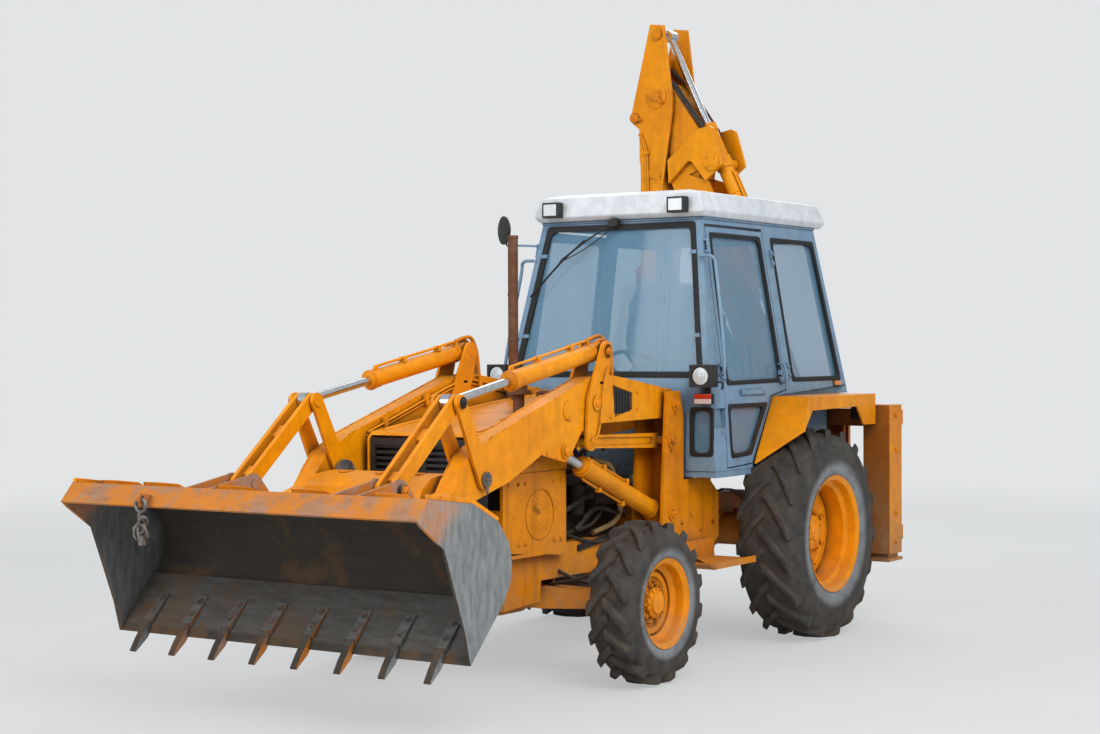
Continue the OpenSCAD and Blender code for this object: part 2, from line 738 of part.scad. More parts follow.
module cab_controls() {
    color(black) machine() {
        // Front console, column and wheel
        box([760, 1000], [-170, 170], [floor_z + wall_t, 1480]);
        rod([860, 1460], [640, 1760], 0, 35);
        translate([630, 0, 1775]) rotate([0, -36, 0]) {
            rotate_extrude($fn = 40) translate([190, 0]) circle(14, $fn = 16);
            for (a = [0, 120, 240]) rotate([0, 0, a]) translate([0, -12, -6]) cube([185, 24, 12]);
            translate([0, 0, -20]) cylinder(r = 40, h = 36);
        }
        // Side console with the loader lever
        box([-100, 500], [-560, -420], [floor_z + wall_t, 1560]);
        rod([400, 1550], [440, 1800], -490, 12);
        translate([440, -490, 1810]) sphere(r = 26);
        // Rear console with the backhoe levers
        box([tub_rear_x + 34, -640], [-200, 200], [floor_z + wall_t, 1700]);
        for (y = [-150 : 60 : 150]) {
            rod([-720, 1690], [-680, 1900], y, 8);
            translate([-678, y, 1908]) sphere(r = 18, $fn = 20);
        }
        // Pedals
        for (y = [-420, 240, 420]) box([800, 830], [y, y + 80], [floor_z + wall_t, floor_z + wall_t + 160]);
    }
}

// Mudguards, steps, exhaust and lamps

fender_out = 1080;
fender_top = [264, fender_out - 8, 1572];
fender_foot = [540, cab_floor_half + 4, 1165];

module rear_fenders() {
    color(orange) machine() both_sides() {
        // Top plate, which runs in under the cab
        slab(well_half - 12, fender_out) polygon([[-770, 1572], [-770, 1590], [180, 1590], [180, 1572]]);
        translate([0, 0, 1572]) linear_extrude(18) polygon([
            [-770, cab_waist_half + 10], [192, cab_waist_half + 10], [262, fender_out], [-770, fender_out]
        ]);
        // Outer lip with its front and rear legs
        slab(fender_out - 14, fender_out) polygon([
            [345, 1370], [276, 1575], [268, 1590], [-770, 1590], [-770, 1381], [-580, 1382], [-470, 1510],
            [-260, 1506], [222, 1500]
        ]);
        // Front panel, from the cab's side out to the lip
        for (p = [fender_top, fender_foot]) hull() {
            translate([185, cab_waist_half + 12, 1578]) cube([12, 8, 12]);
            translate([333, fender_out - 8, 1370]) cube([12, 8, 12]);
            translate(p) cube([12, 8, 12]);
        }
        // Hanger behind the wheel, on the rear frame's bracket
        box([-800, -756], [well_half - 12, fender_out - 60], [1520, 1572]);
        box([-846, -756], [well_half - 12, well_half + 110], [1500, 1572]);
    }
}

module side_steps() {
    color(orange) machine() {
        both_sides() {
            // Tread plate with its brackets, tapered towards the rear
            slab(tower_out[1] + 0.5, 930) polygon([[740, 560], [1280, 560], [1330, 590], [1330, 606], [1280, 580], [760, 578]]);
            difference() {
                slab(tower_out[1] + 0.5, 900) polygon([[780, 572], [1290, 572], [1260, 700], [800, 700]]);
                slab(tower_out[1] + 60, 1000) polygon([[700, 590], [1400, 590], [1300, 760], [700, 760]]);
            }
        }
    }
    // Tanks under the towers' rear ends
    color(black) machine() both_sides() {
        box([650, 1060], [rail_y + 80.3, tower_in[0] - 5], [rail_z - 60, rail_z + 38]);
    }
}

exhaust_at = [1586, -338];

module exhaust_stack() {
    color([0.35, 0.2, 0.12]) machine() {
        base = bonnet_z(exhaust_at.x - 48) + 0.3;
        translate([exhaust_at.x, exhaust_at.y, base]) {
            cylinder(r = 48, h = 60);
            cylinder(r = 32, h = 2620 - base);
        }
        // Pre-cleaner on the bonnet
        translate([2250, 150, bonnet_z(2216) + 0.3]) {
            cylinder(r = 34, h = 110);
            translate([0, 0, 110]) cylinder(r = 70, h = 26);
            translate([0, 0, 136]) cylinder(r = 52, h = 60);
        }
    }
}

module lamps() {
    color(black) machine() both_sides() {
        // Work lamps under the roof's front and rear edges
        box([890.3, 950], [410, 536], [roof_z + 25, roof_z + 125]);
        box([-960, -900.3], [410, 536], [roof_z + 30, roof_z + 125]);
        // Headlamp over its indicator
        difference() {
            box([1060, 1165], [690, 836], [1665, 1805]);
            translate([1125, 763, 1735]) rotate([0, 90, 0]) cylinder(r = 60, h = 60);
        }
        translate([1120, 763, 1735]) rotate([0, 90, 0]) cylinder(r = 56, h = 30);
        box([1055, 1120], [700, 826], [1560, 1625]);
        box([1046, 1062], [745, 781], [1580, 1780]);
        // Tail lamp on the mudguard
        box([-799, -757], [900, 1020], [1410, 1519.7]);
    }
}

// Rear frame with the stabiliser tubes

column_front_x = column_rear_x + column_l;
column_inner_y = column_outer_y - column_w;
column_wall = 14;

module rear_frame() {
    color(orange) machine() {
        both_sides() {
            difference() {
                box([column_rear_x, column_front_x], [column_inner_y, column_outer_y], [column_bottom, column_top]);
                box([column_rear_x + column_wall, column_front_x - column_wall],
                    [column_inner_y + column_wall, column_outer_y - column_wall], [column_bottom - 5, column_top - column_wall]);
            }
            for (z = [column_top - 170, 560]) box([column_rear_x, column_rear_x + 20], [column_inner_y - 80, column_outer_y], [z, z + 120]);
        }
        // Upper and lower beams that the carriage slides on
        for (z = [column_top - 150, 560]) {
            difference() {
                box([column_rear_x, column_front_x - 60], [-column_inner_y - 1, column_inner_y + 1], [z, z + 120]);
                box([column_rear_x + 12, column_front_x - 72], [-column_inner_y + 30, column_inner_y - 30], [z + 12, z + 108]);
            }
            box([column_rear_x - 24, column_rear_x], [-column_outer_y, column_outer_y], [z + 10, z + 110]);
        }
        // Uprights that carry the beams on the chassis rails
        for (s = [-1, 1]) {
            box([column_rear_x + 20, column_front_x - 70], [s > 0 ? rail_y + 80 : -rail_y - 106, s > 0 ? rail_y + 106 : -rail_y - 80],
                [560, column_top - 150]);
        }
    }
}

module stabiliser(s) {
    color(orange) machine() mirror([0, s < 0 ? 1 : 0, 0]) {
        c = 6;
        difference() {
            box([column_rear_x + column_wall + c, column_front_x - column_wall - c],
                [column_inner_y + column_wall + c, column_outer_y - column_wall - c], [column_bottom - 40, column_top - 90]);
            box([column_rear_x + column_wall + c + 12, column_front_x - column_wall - c - 12],
                [column_inner_y + column_wall + c + 12, column_outer_y - column_wall - c - 12], [column_bottom - 20, column_top]);
        }
        // Foot
        box([column_rear_x - 15, column_front_x + 15], [column_inner_y - 10, column_outer_y + 2], [column_bottom - 52, column_bottom - 30]);
    }
}

module stabiliser_left() { stabiliser(1); }
module stabiliser_right() { stabiliser(-1); }

// Loader linkage

arm_top = [
    [1228, 1662], [1882, 1751], [2088, 1740], [3089, 1432], [3300, 1336], [3400, 1225],
    [3460, 1150], [3560, 1120], [3640, 1040]
];
arm_bottom = [
    [3600, 870], [3284, 1091], [2936, 1180], [2603, 1316], [2500, 1425], [2200, 1425],
    [2014, 1468], [1245, 1478]
];
lug_profile = [[2180, 1440], [2320, 1280], [2420, 1270], [2603, 1310], [2640, 1440]];
torque_box = [[3300, 1085], [3580, 985], [3530, 1165], [3440, 1225], [3300, 1240]];
louvre = [[1844, 1692], [1617, 1640], [1618, 1540], [1819, 1500]];

module loader_arms() {
    color(orange) machine() {
        both_sides() difference() {
            union() {
                slab(arm_y - arm_w/2, arm_y + arm_w/2) {
                    polygon(concat(arm_top, arm_bottom));
                    dot(pin_a, 96);
                    dot(pin_f, 90);
                }
                for (f = [[arm_y - arm_w/2, arm_y - arm_w/2 + 24], [arm_y + arm_w/2 - 24, arm_y + arm_w/2]]) slab(f[0], f[1]) {
                    polygon(lug_profile);
                    dot(pin_e, 62);
                }
                y_pin(pin_e, arm_y + arm_w/2, arm_y + arm_w/2 + 12, pin_r + 14);
                y_pin(pin_e, arm_y - arm_w/2 - 12, arm_y - arm_w/2, pin_r + 8);
                y_pin([2330, 1550], arm_y + arm_w/2, arm_y + arm_w/2 + 3, 60);
            }
            for (p = [pin_a, pin_d, pin_f, pin_g]) y_pin(p, arm_y - 100, arm_y + 100, pin_r + pin_fit);
            slab(arm_y + arm_w/2 - 12, arm_y + arm_w) polygon(louvre);
        }
        // Torque box across the arms
        slab(-arm_y + arm_w/2 + fork_gap + fork_t + 10, arm_y - arm_w/2 - fork_gap - fork_t - 10) polygon(torque_box);
        slab(-arm_y + arm_w/2, arm_y - arm_w/2) polygon([[3300, 1085], [3365, 1062], [3365, 1160], [3300, 1165]]);
        // Louvre slats
        both_sides() for (i = [0 : 5]) {
            x = 1640 + i * 34;
            slab(arm_y + arm_w/2 - 13, arm_y + arm_w/2 - 2) polygon([[x, 1530], [x + 12, 1530], [x + 12, 1648], [x, 1645]]);
        }
    }
}

module levelling_levers() {
    color(orange) machine() both_sides() {
        for (f = [fork_in, fork_out]) slab(f[0], f[1]) {
            bar2d(pin_i, pin_d, 60, 88);
            bar2d(pin_d, pin_h, 88, 52);
        }
        for (p = [pin_i, pin_d, pin_h]) {
            y_pin(p, fork_in[0] - 4, fork_out[1] + 8, pin_r);
            y_pin(p, fork_out[1], fork_out[1] + 6, pin_r + 12);
        }
    }
}

module levelling_links() {
    color(orange) machine() both_sides() difference() {
        slab(arm_y - 22, arm_y + 22) {
            bar2d(pin_b, pin_h, 46, 38);
        }
        for (p = [pin_b, pin_h]) y_pin(p, arm_y - 40, arm_y + 40, pin_r + pin_fit);
        slab(arm_y - 60, arm_y - 10) bar2d(along(pin_b, pin_h, 90), along(pin_h, pin_b, 90), 24, 24);
        slab(arm_y + 10, arm_y + 60) bar2d(along(pin_b, pin_h, 90), along(pin_h, pin_b, 90), 24, 24);
    }
}

module lift_barrels() {
    color(orange) machine() both_sides()
        ram_barrel(pin_c, pin_e, arm_y, lift_barrel_len, lift_barrel_r, 58, 100, pin_r, 30);
}

module lift_rods() {
    color(steel) machine() both_sides()
        ram_rod(pin_c, pin_e, arm_y, 270, 30, 46, 64, pin_r);
}

module tilt_barrels() {
    color(orange) machine() both_sides()
        ram_barrel(pin_i, pin_j, arm_y, tilt_barrel_len, tilt_barrel_r, 54, 90, pin_r, 25);
}

module tilt_rods() {
    color(steel) machine() both_sides()
        ram_rod(pin_i, pin_j, arm_y, 580, 25, 44, 56, 22);
}

// Thrust flange on a pin's inner end
flange_r = 82;
flange_t = 22;

module swing_pins() {
    color(steel) machine() both_sides() {
        y_pin(pin_g, fork_in[0] - side_gap, fork_out[1] + 14, pin_r);
        y_pin(pin_g, fork_in[0] - side_gap - flange_t, fork_in[0] - side_gap, flange_r);
        y_pin(pin_g, fork_out[1] + side_gap, fork_out[1] + 14, pin_r + 14);
    }
}

module swing_levers() {
    color(orange) machine() both_sides() difference() {
        union() {
            for (f = [fork_in, fork_out]) slab(f[0], f[1]) bar2d(pin_g, pin_j, 56, 44);
            y_pin(pin_j, fork_out[1], fork_out[1] + 10, 34);
            y_pin(pin_j, fork_in[0] - 8, fork_in[0], 34);
        }
        y_pin(pin_g, fork_in[0] - 20, fork_out[1] + 1, pin_r + pin_fit);
    }
}

link_bars = [[arm_y - 58, arm_y - 32], [arm_y + 32, arm_y + 58]];

module tipping_links() {
    color(orange) machine() both_sides() {
        for (f = link_bars) slab(f[0], f[1]) bar2d(pin_j, pin_k, 42, 42);
        slab(arm_y - 50, arm_y + 50) bar2d(along(pin_j, pin_k, 230), along(pin_j, pin_k, 300), 14, 14);
        slab(arm_y - 50, arm_y + 50) bar2d(along(pin_j, pin_k, 560), along(pin_j, pin_k, 610), 14, 14);
        y_pin(pin_j, arm_y - 58, arm_y + 58, 22);
    }
}

module bucket_pins() {
    color(steel) machine() both_sides() {
        y_pin(pin_f, fork_in[0] - side_gap, fork_out[1] + 14, pin_r);
        y_pin(pin_f, fork_in[0] - side_gap - flange_t, fork_in[0] - side_gap, flange_r);
        y_pin(pin_f, fork_out[1] + side_gap, fork_out[1] + 14, pin_r + 14);
    }
}

// Loader bucket, drawn dumped as it is parked
edge_tip = [4177, 390];
edge_angle = aim([3901, 657], edge_tip);
bucket_skin = [
    [4511, 1214], [4153, 1167], [3939, 1067], [3852, 960], [3822, 870], [3836, 760], [3901, 657]
];

module loader_bucket() {
    color([0.45, 0.42, 0.38]) machine() {
        inner = [[4500, 1196], [4158, 1150], [3952, 1054], [3868, 952], [3839, 868], [3852, 766], [3913, 669]];
        side = concat([[4597, 1117]], bucket_skin, [edge_tip, [4223, 556], [4387, 966], [4561, 1085]]);
        difference() {
            union() {
                slab(-bucket_half + bucket_t, bucket_half - bucket_t)
                    polygon(concat(bucket_skin, [edge_tip], [for (i = [6 : -1 : 0]) inner[i]]));
                both_sides() slab(bucket_half - bucket_t, bucket_half) polygon(side);
                // Lip box along the top edge
                slab(-bucket_half + bucket_t, bucket_half - bucket_t)
                    polygon([[4511, 1214], [4597, 1117], [4585, 1108], [4490, 1190], [4400, 1182], [4400, 1198]]);
                // Cutting edge
                slab(-bucket_half + bucket_t, bucket_half - bucket_t)
                    polygon([[3901, 657], [3925, 681], [4150, 440], edge_tip]);
                bucket_ears();
                slab(lug_y - 8, lug_y + 8) bar2d([4572, 1140], lip_lug, 34, 26);
            }
            y_pin(lip_lug, lug_y - 20, lug_y + 20, 14);
            both_sides() for (p = [pin_f]) y_pin(p, fork_in[0] - 5, fork_out[1] + 1, pin_r + pin_fit);
        }
        for (i = [0 : bucket_teeth - 1]) bucket_tooth(-978 + i * 1956 / (bucket_teeth - 1));
    }
}

module bucket_ears() {
    both_sides() {
        for (f = [fork_in, fork_out]) slab(f[0], f[1]) {
            bar2d(pin_k, pin_f, 56, 72);
            polygon([pin_k + [20, 50], [4300, 1190], [4153, 1160], [3939, 1060], [3840, 900], [3845, 760], pin_f + [0, -72], pin_f]);
        }
        y_pin(pin_k, fork_out[1], fork_out[1] + 24, 34);
        y_pin(pin_k, fork_in[0] - 5, fork_in[0], 26);
    }
}

// A tooth: a shank on the edge and a tapered point
module bucket_tooth(y) {
    translate([edge_tip.x, y, edge_tip.y]) rotate([0, -edge_angle, 0]) translate([0, 0, 0]) rotate([90, 0, 0])
        translate([0, 0, -21]) linear_extrude(42) polygon([[-170, 14], [-150, 40], [-40, 36], [60, 22], [128, 6], [128, -2], [20, -16], [-60, -2]]);
}

// Ring that hangs in the lip's lug
lip_lug = [4625, 1160];
lug_y = -560;

module lip_chain() {
    color([0.35, 0.36, 0.38]) machine() translate([lip_lug.x, lug_y, lip_lug.y - 37.8])
        rotate([0, 90, 0]) rotate_extrude($fn = 32) translate([34, 0]) circle(9, $fn = 16);
}

// Backhoe, drawn in the boom's own plane as [out from the slew axis, up]

module hoe() {
    machine() translate([slew_x, slew_y, 0]) rotate([0, 0, 180 + slew_deg]) children();
}

carriage_half = 290;
carriage_x = [column_rear_x - 96, column_rear_x - 24.4];
kingpost_z = [[520, 600], [1290, 1380]];

module carriage() {
    color(orange) machine() {
        difference() {
            union() {
                box([carriage_x[0], carriage_x[0] + 40], [slew_y - carriage_half, slew_y + carriage_half], [500, 1500]);
                for (s = [-1, 1]) slab(slew_y + s * 255 - 15, slew_y + s * 255 + 15)
                    polygon([[carriage_x[0], 520], [carriage_x[1], 520], [carriage_x[1], 1490], [carriage_x[0], 1490]]);
                // Hook claws over the upper and under the lower beam
                box([carriage_x[0], column_rear_x - 2], [slew_y - carriage_half, slew_y + carriage_half], [column_top - 39.6, column_top - 10]);
                box([carriage_x[0], column_rear_x - 2], [slew_y - carriage_half, slew_y + carriage_half], [530, 569.6]);
                // Lugs under the lower and over the upper boss of the kingpost
                for (z = [kingpost_z[0][0] - 45.5, kingpost_z[1][1] + 5]) {
                    translate([slew_x, slew_y, z]) cylinder(r = 100, h = 45);
                    slab(slew_y - 100, slew_y + 100)
                        polygon([[slew_x, z], [carriage_x[0] + 10, z], [carriage_x[0] + 10, z + 45], [slew_x, z + 45]]);
                }
            }
            for (z = [kingpost_z[0][0] - 60, kingpost_z[1][1] - 20]) translate([slew_x, slew_y, z]) cylinder(r = 39 + pin_fit, h = 90);
        }
    }
}

module kingpost() {
    color(orange) hoe() {
        difference() {
            union() {
                for (z = kingpost_z) translate([0, 0, z[0]]) cylinder(r = 92, h = z[1] - z[0]);
                translate([0, 0, kingpost_z[0][0] - 50]) cylinder(r = 39, h = kingpost_z[1][1] - kingpost_z[0][0] + 105);
                // Casting between the two slew bosses
                slab(-70, 70) polygon([
                    [-70, 530], [40, 530], boom_foot + [0, -75], boom_foot + [0, 75], [150, 880],
                    [110, 1090], [90, 1370], [-70, 1370]
                ]);
                slab(-70, 70) dot(boom_foot, 75);
                for (f = [[-88, -62], [62, 88]]) slab(f[0], f[1]) {
                    bar2d([30, boom_ram_base.y], boom_ram_base, 80, 50);
                }
            }
            y_pin(boom_foot, -100, 100, hoe_pin_r + pin_fit);
            slab(-61.5, 61.5) difference() {
                dot(boom_ram_base, 66);
                translate([-200, 0]) square([285, 2000]);
            }
        }
        y_pin(boom_ram_base, -92, 92, 26);
    }
}

boom_inner_edge = [[170, 850], [205, 1400], [480, 2155], [770, 2710], [963, 3170]];
boom_ears = [[963, 3170], [820, 3300], [890, 3560], [930, 3582], [1045, 3562]];
boom_outer_edge = [[1300, 3170], [1110, 2700], [810, 2150], [520, 1400], [385, 850]];

module boom() {
    lh = limb_w/2;
    color(orange) hoe() difference() {
        union() {
            // Lower limb: two plates and the outer skin, open towards the kingpost
            for (s = [-1, 1]) slab(s > 0 ? lh - hoe_t : -lh, s > 0 ? lh : -lh + hoe_t) {
                polygon(concat(boom_inner_edge, [[1240, 3260]], boom_outer_edge));
                bar2d(boom_foot, boom_foot + [10, 150], 110, 110);
            }
            slab(-lh + hoe_t, lh - hoe_t) polygon([
                [1240, 3260], [1300, 3170], [1110, 2700], [810, 2150], [520, 1400], [430, 1050],
                [400, 1060], [490, 1405], [782, 2158], [1080, 2705], [1230, 3160], [1060, 3200], [1050, 3300]
            ]);
            // Upper limb up to the tip
            slab(-nose_w/2, nose_w/2) {
                polygon([[1300, 3170], [1318, 3420], [1300, 3790], boom_tip + [-40, 112], boom_tip + [-112, 60], [1045, 3562], [1000, 3440], [1060, 3260]]);
                dot(boom_tip, 118);
            }
            // Cheeks flared out to the ears' width
            for (s = [-1, 1]) slab(s > 0 ? lh - hoe_t : -hoe_w/2, s > 0 ? hoe_w/2 : -lh + hoe_t)
                polygon([[1300, 3170], [1310, 3345], [1045, 3562], [1010, 3480], [1000, 3420], [1120, 3330]]);
            for (s = [-1, 1]) slab(s > 0 ? hoe_w/2 - 26 : -hoe_w/2, s > 0 ? hoe_w/2 : -hoe_w/2 + 26)
                polygon([[963, 3170], [812, 3290], [822, 3330], [895, 3560], [930, 3582], [1045, 3562], [1120, 3330], [1085, 3320]]);
        }
        y_pin(boom_tip, -200, 200, hoe_pin_r + pin_fit);
        y_pin(trunnion, -200, 200, 26);
        // Channel for the dipper's ram
        slab(-76, 76) bar2d(along(trunnion, dipper_tail, -60), along(trunnion, dipper_tail, 520), 76, 74);
    }
    color(steel) hoe() {
        y_pin(boom_foot, -lh - 8, lh + 8, hoe_pin_r);
        y_pin(boom_ram_eye, lh - hoe_t, lh + 10, 30);
        y_pin(boom_ram_eye, -lh - 10, -lh + hoe_t, 30);
    }
}

module boom_ram_barrel() {
    color(orange) hoe() ram_barrel(boom_ram_base, boom_ram_eye, 0, 1040, 62, 56, 110, 26, 32);
}

module boom_ram_rod() {
    color(steel) hoe() ram_rod(boom_ram_base, boom_ram_eye, 0, 150, 32, 50, 90, 28);
}

dipper_edge_in = [[1341, 4381], [1264, 3811], [1268, 3720], [1359, 3126], [1428, 2560], [1432, 2400]];
dipper_edge_out = [[1562, 2430], [1556, 3136], [1575, 3600], [1640, 3650], [1660, 3690], [1640, 3745], [1468, 4399]];

module dipper() {
    h = hoe_w/2;
    color(orange) hoe() difference() {
        union() {
            for (s = [-1, 1]) slab(s > 0 ? h - hoe_t : -h, s > 0 ? h : -h + hoe_t) {
                polygon(concat(dipper_edge_in, dipper_edge_out));
                dot(hinge_pin, 68);
            }
            // Closed box below the fork
            slab(-h + hoe_t, h - hoe_t) polygon([[1352, 3180], [1359, 3126], [1428, 2560], [1432, 2500], [1538, 2500], [1536, 3136], [1545, 3560], [1505, 3560]]);
            // Outer skin behind the fork
            slab(-h + hoe_t, h - hoe_t) polygon([[1540, 3540], [1556, 3720], [1588, 3800], [1490, 4160], [1472, 4150], [1566, 3805], [1536, 3728], [1512, 3540]]);
            // Pivot bosses
            for (s = [-1, 1]) slab(s > 0 ? h : -h - 10, s > 0 ? h + 10 : -h) dot(boom_tip, 62);
            // Lugs of the bucket ram's base
            for (s = [-1, 1]) slab(s > 0 ? 70 : -h + hoe_t, s > 0 ? h - hoe_t : -70) bar2d(bucket_ram_base, [1540, 3680], 44, 44);
        }
        y_pin(hinge_pin, -h - 30, h + 30, hoe_pin_r + pin_fit);
        y_pin(rocker_pin, -h - 30, h + 30, 24 + pin_fit);
        // Pocket the rocker swings in
        slab(-84, 84) translate([rocker_pin.x - 52, rocker_pin.y - 170]) square([140, 310]);
    }
    color(steel) hoe() {
        y_pin(boom_tip, -h - 14, h + 14, hoe_pin_r);
        for (s = [-1, 1]) slab(s > 0 ? h : -h - 16, s > 0 ? h + 16 : -h) dot(dipper_tail, 30);
        y_pin(bucket_ram_base, -h - 14, h + 14, 24);
    }
}

module dipper_ram_barrel() {
    // Trunnion-mounted, with its butt below the ears
    gland = along(trunnion, dipper_tail, 330);
    butt = along(trunnion, dipper_tail, -800);
    color(orange) hoe() difference() {
        union() {
            rod(butt, gland, 0, 58);
            rod(along(trunnion, dipper_tail, 268), gland, 0, 66);
            rod(along(trunnion, dipper_tail, -45), along(trunnion, dipper_tail, 45), 0, 68);
            y_pin(trunnion, -138, 138, 40);
            y_pin(trunnion, -hoe_w/2 - 4, hoe_w/2 + 4, 25.5);
        }
        rod(along(trunnion, dipper_tail, -765), along(trunnion, dipper_tail, 340), 0, 28 + pin_fit);
    }
}

module dipper_ram_rod() {
    from = along(trunnion, dipper_tail, -30);
    color(steel) hoe() difference() {
        union() {
            rod(from, along(dipper_tail, trunnion, 30), 0, 28);
            y_pin(dipper_tail, -45, 45, 46);
        }
        y_pin(dipper_tail, -60, 60, 24);
    }
}

module bucket_ram_barrel() {
    color(orange) hoe() ram_barrel(bucket_ram_base, rocker_tip, 0, 690, 46, 44, 90, 24, 24);
}

module bucket_ram_rod() {
    color(steel) hoe() ram_rod(bucket_ram_base, rocker_tip, 0, 500, 24, 40, 60, 22);
}

module bucket_rocker() {
    color(orange) hoe() {
        for (s = [-1, 1]) difference() {
            slab(s > 0 ? 60 : -80, s > 0 ? 80 : -60) bar2d(rocker_pin, rocker_tip, 44, 40);
            y_pin(rocker_tip, -90, 90, 20 + pin_fit);
        }
        y_pin(rocker_pin, -hoe_w/2 - 8, hoe_w/2 + 8, 24);
    }
}

module bucket_link() {
    color(orange) hoe() for (s = [-1, 1]) {
        slab(s > 0 ? 84 : -106, s > 0 ? 106 : -84) bar2d(rocker_tip, link_pin, 40, 42);
        y_pin(rocker_tip, s > 0 ? 58 : -106, s > 0 ? 106 : -58, 20);
    }
}

// Digging bucket drawn round its hinge pin, then curled up to its parked angle
dig_curl = -45;
dig_skin = [
    // [out, up] from the hinge pin, back of the bucket from its top lip to the edge
    [-110, -95], [250, -120], [400, -230], [480, -400], [465, -590], [370, -760], [20, -930]
];

module dig_bucket() {
    t = 14;
    h = dig_w/2;
    turned = [for (p = [link_pin - hinge_pin]) [p.x * cos(dig_curl) + p.y * sin(dig_curl), -p.x * sin(dig_curl) + p.y * cos(dig_curl)]];
    color([0.45, 0.42, 0.38]) hoe() {
        translate([hinge_pin.x, 0, hinge_pin.y]) rotate([0, -dig_curl, 0]) {
            inner = [[-110, -110], [243, -134], [388, -240], [466, -400], [451, -583], [362, -748], [20, -912]];
            slab(-h + t, h - t) polygon(concat(dig_skin, [for (i = [6 : -1 : 0]) inner[i]]));
            for (s = [-1, 1]) slab(s > 0 ? h - t : -h, s > 0 ? h : -h + t)
                polygon(concat(dig_skin, [[-30, -700], [-120, -300]]));
            // Ears to the dipper and the link
            for (s = [-1, 1]) slab(s > 0 ? hoe_w/2 + 6 : -hoe_w/2 - 28, s > 0 ? hoe_w/2 + 28 : -hoe_w/2 - 6) {
                dot([0, 0], 64);
                dot(turned[0], 54);
                polygon([[-40, 20], [-92, -103], [236, -126], turned[0] + [45, -15], turned[0] + [12, 50], [14, 60]]);
            }
        }
        y_pin(hinge_pin, -hoe_w/2 - 36, hoe_w/2 + 36, hoe_pin_r);
        for (s = [-1, 1]) slab(s > 0 ? hoe_w/2 + 28 : -hoe_w/2 - 40, s > 0 ? hoe_w/2 + 40 : -hoe_w/2 - 28) dot(link_pin, 30);
        translate([hinge_pin.x, 0, hinge_pin.y]) rotate([0, -dig_curl, 0])
            for (i = [0 : 4]) translate([0, -h + 52 + i * (dig_w - 104) / 4, 0])
                slab(-26, 26) polygon([[160, -878], [130, -848], [20, -900], [-70, -985], [-76, -992], [20, -962]]);
    }
}

chassis_frame();
engine_block();
front_axle();
rear_axle();
bonnet();
grille();
cab_base();
cab_frame();
cab_roof();
cab_glass();
seat();
cab_controls();
rear_fenders();
side_steps();
exhaust_stack();
lamps();
rear_frame();
knuckle_left();
knuckle_right();
front_tyre_left();
front_rim_left();
front_tyre_right();
front_rim_right();
rear_tyre_left();
rear_rim_left();
rear_tyre_right();
rear_rim_right();
door_left();
door_glass_left();
door_right();
door_glass_right();
loader_arms();
levelling_levers();
levelling_links();
lift_barrels();
lift_rods();
tilt_barrels();
tilt_rods();
swing_pins();
swing_levers();
tipping_links();
bucket_pins();
loader_bucket();
lip_chain();
carriage();
kingpost();
boom();
boom_ram_barrel();
boom_ram_rod();
dipper();
dipper_ram_barrel();
dipper_ram_rod();
bucket_ram_barrel();
bucket_ram_rod();
bucket_rocker();
bucket_link();
dig_bucket();
stabiliser_left();
stabiliser_right();
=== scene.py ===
"""Looks for the backhoe loader: materials, tyres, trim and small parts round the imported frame.

Lengths in this file are metres unless a helper says millimetres. at() takes the machine's own
measure, counted along from the rear axle, and hoe() the backhoe's own plane.
"""

import math
import random

import bmesh
import bpy
from mathutils import Matrix, Vector, noise


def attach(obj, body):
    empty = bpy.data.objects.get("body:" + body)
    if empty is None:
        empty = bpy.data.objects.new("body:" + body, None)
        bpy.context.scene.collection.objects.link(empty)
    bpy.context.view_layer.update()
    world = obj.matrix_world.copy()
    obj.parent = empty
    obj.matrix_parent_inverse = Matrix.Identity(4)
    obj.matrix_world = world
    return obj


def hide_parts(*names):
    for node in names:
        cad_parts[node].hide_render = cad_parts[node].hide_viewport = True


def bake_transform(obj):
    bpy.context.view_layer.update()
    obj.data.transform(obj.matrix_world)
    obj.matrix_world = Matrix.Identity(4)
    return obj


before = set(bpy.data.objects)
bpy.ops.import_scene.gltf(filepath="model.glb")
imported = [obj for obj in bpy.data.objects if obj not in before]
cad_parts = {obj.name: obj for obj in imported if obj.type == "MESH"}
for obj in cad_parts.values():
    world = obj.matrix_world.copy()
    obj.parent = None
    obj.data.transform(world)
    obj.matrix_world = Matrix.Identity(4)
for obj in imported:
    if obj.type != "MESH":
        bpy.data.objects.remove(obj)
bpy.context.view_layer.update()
random.seed(7)

AXLE_X = -1.425     # the rear axle in the frame
SLEW = (-1360, 450, 85)     # the backhoe's slew axis along and across, and its parked turn
FRONT_WHEEL, FRONT_TRACK = (2171, 465), 965     # each wheel's centre along and up, then across
REAR_WHEEL, REAR_TRACK = (0, 688), 935
FRONT_TYRE = {"r": 0.465, "w": 0.300, "bead": 0.236, "lugs": 16, "lug_w": 0.062, "sweep": 0.30}
REAR_TYRE = {"r": 0.688, "w": 0.420, "bead": 0.362, "lugs": 18, "lug_w": 0.066, "sweep": 0.36}
RAM_Y = 490     # both pairs of loader rams, across
SIDES = ("left", 1), ("right", -1)
UP, AHEAD, ASIDE = (0, 0, 1), (1, 0, 0), (0, 1, 0)


def at(x, z, y=0.0):
    """Millimetres along, up and across in the machine's own measure, as a point of the frame."""
    return Vector((x / 1000 + AXLE_X, y / 1000, z / 1000))


def hoe(out, up, side=0.0):
    """Millimetres out from the slew axis, up, and across the parked backhoe."""
    a = math.radians(180 + SLEW[2])
    x = out * math.cos(a) - side * math.sin(a) + SLEW[0]
    y = out * math.sin(a) + side * math.cos(a) + SLEW[1]
    return at(x, up, y)


def srgb(r, g, b):
    """A colour as seen on screen, 0 to 255, in the shader's linear values."""
    return tuple(((c / 255 + 0.055) / 1.055) ** 2.4 if c > 10 else c / 255 / 12.92 for c in (r, g, b)) + (1.0,)


# Materials

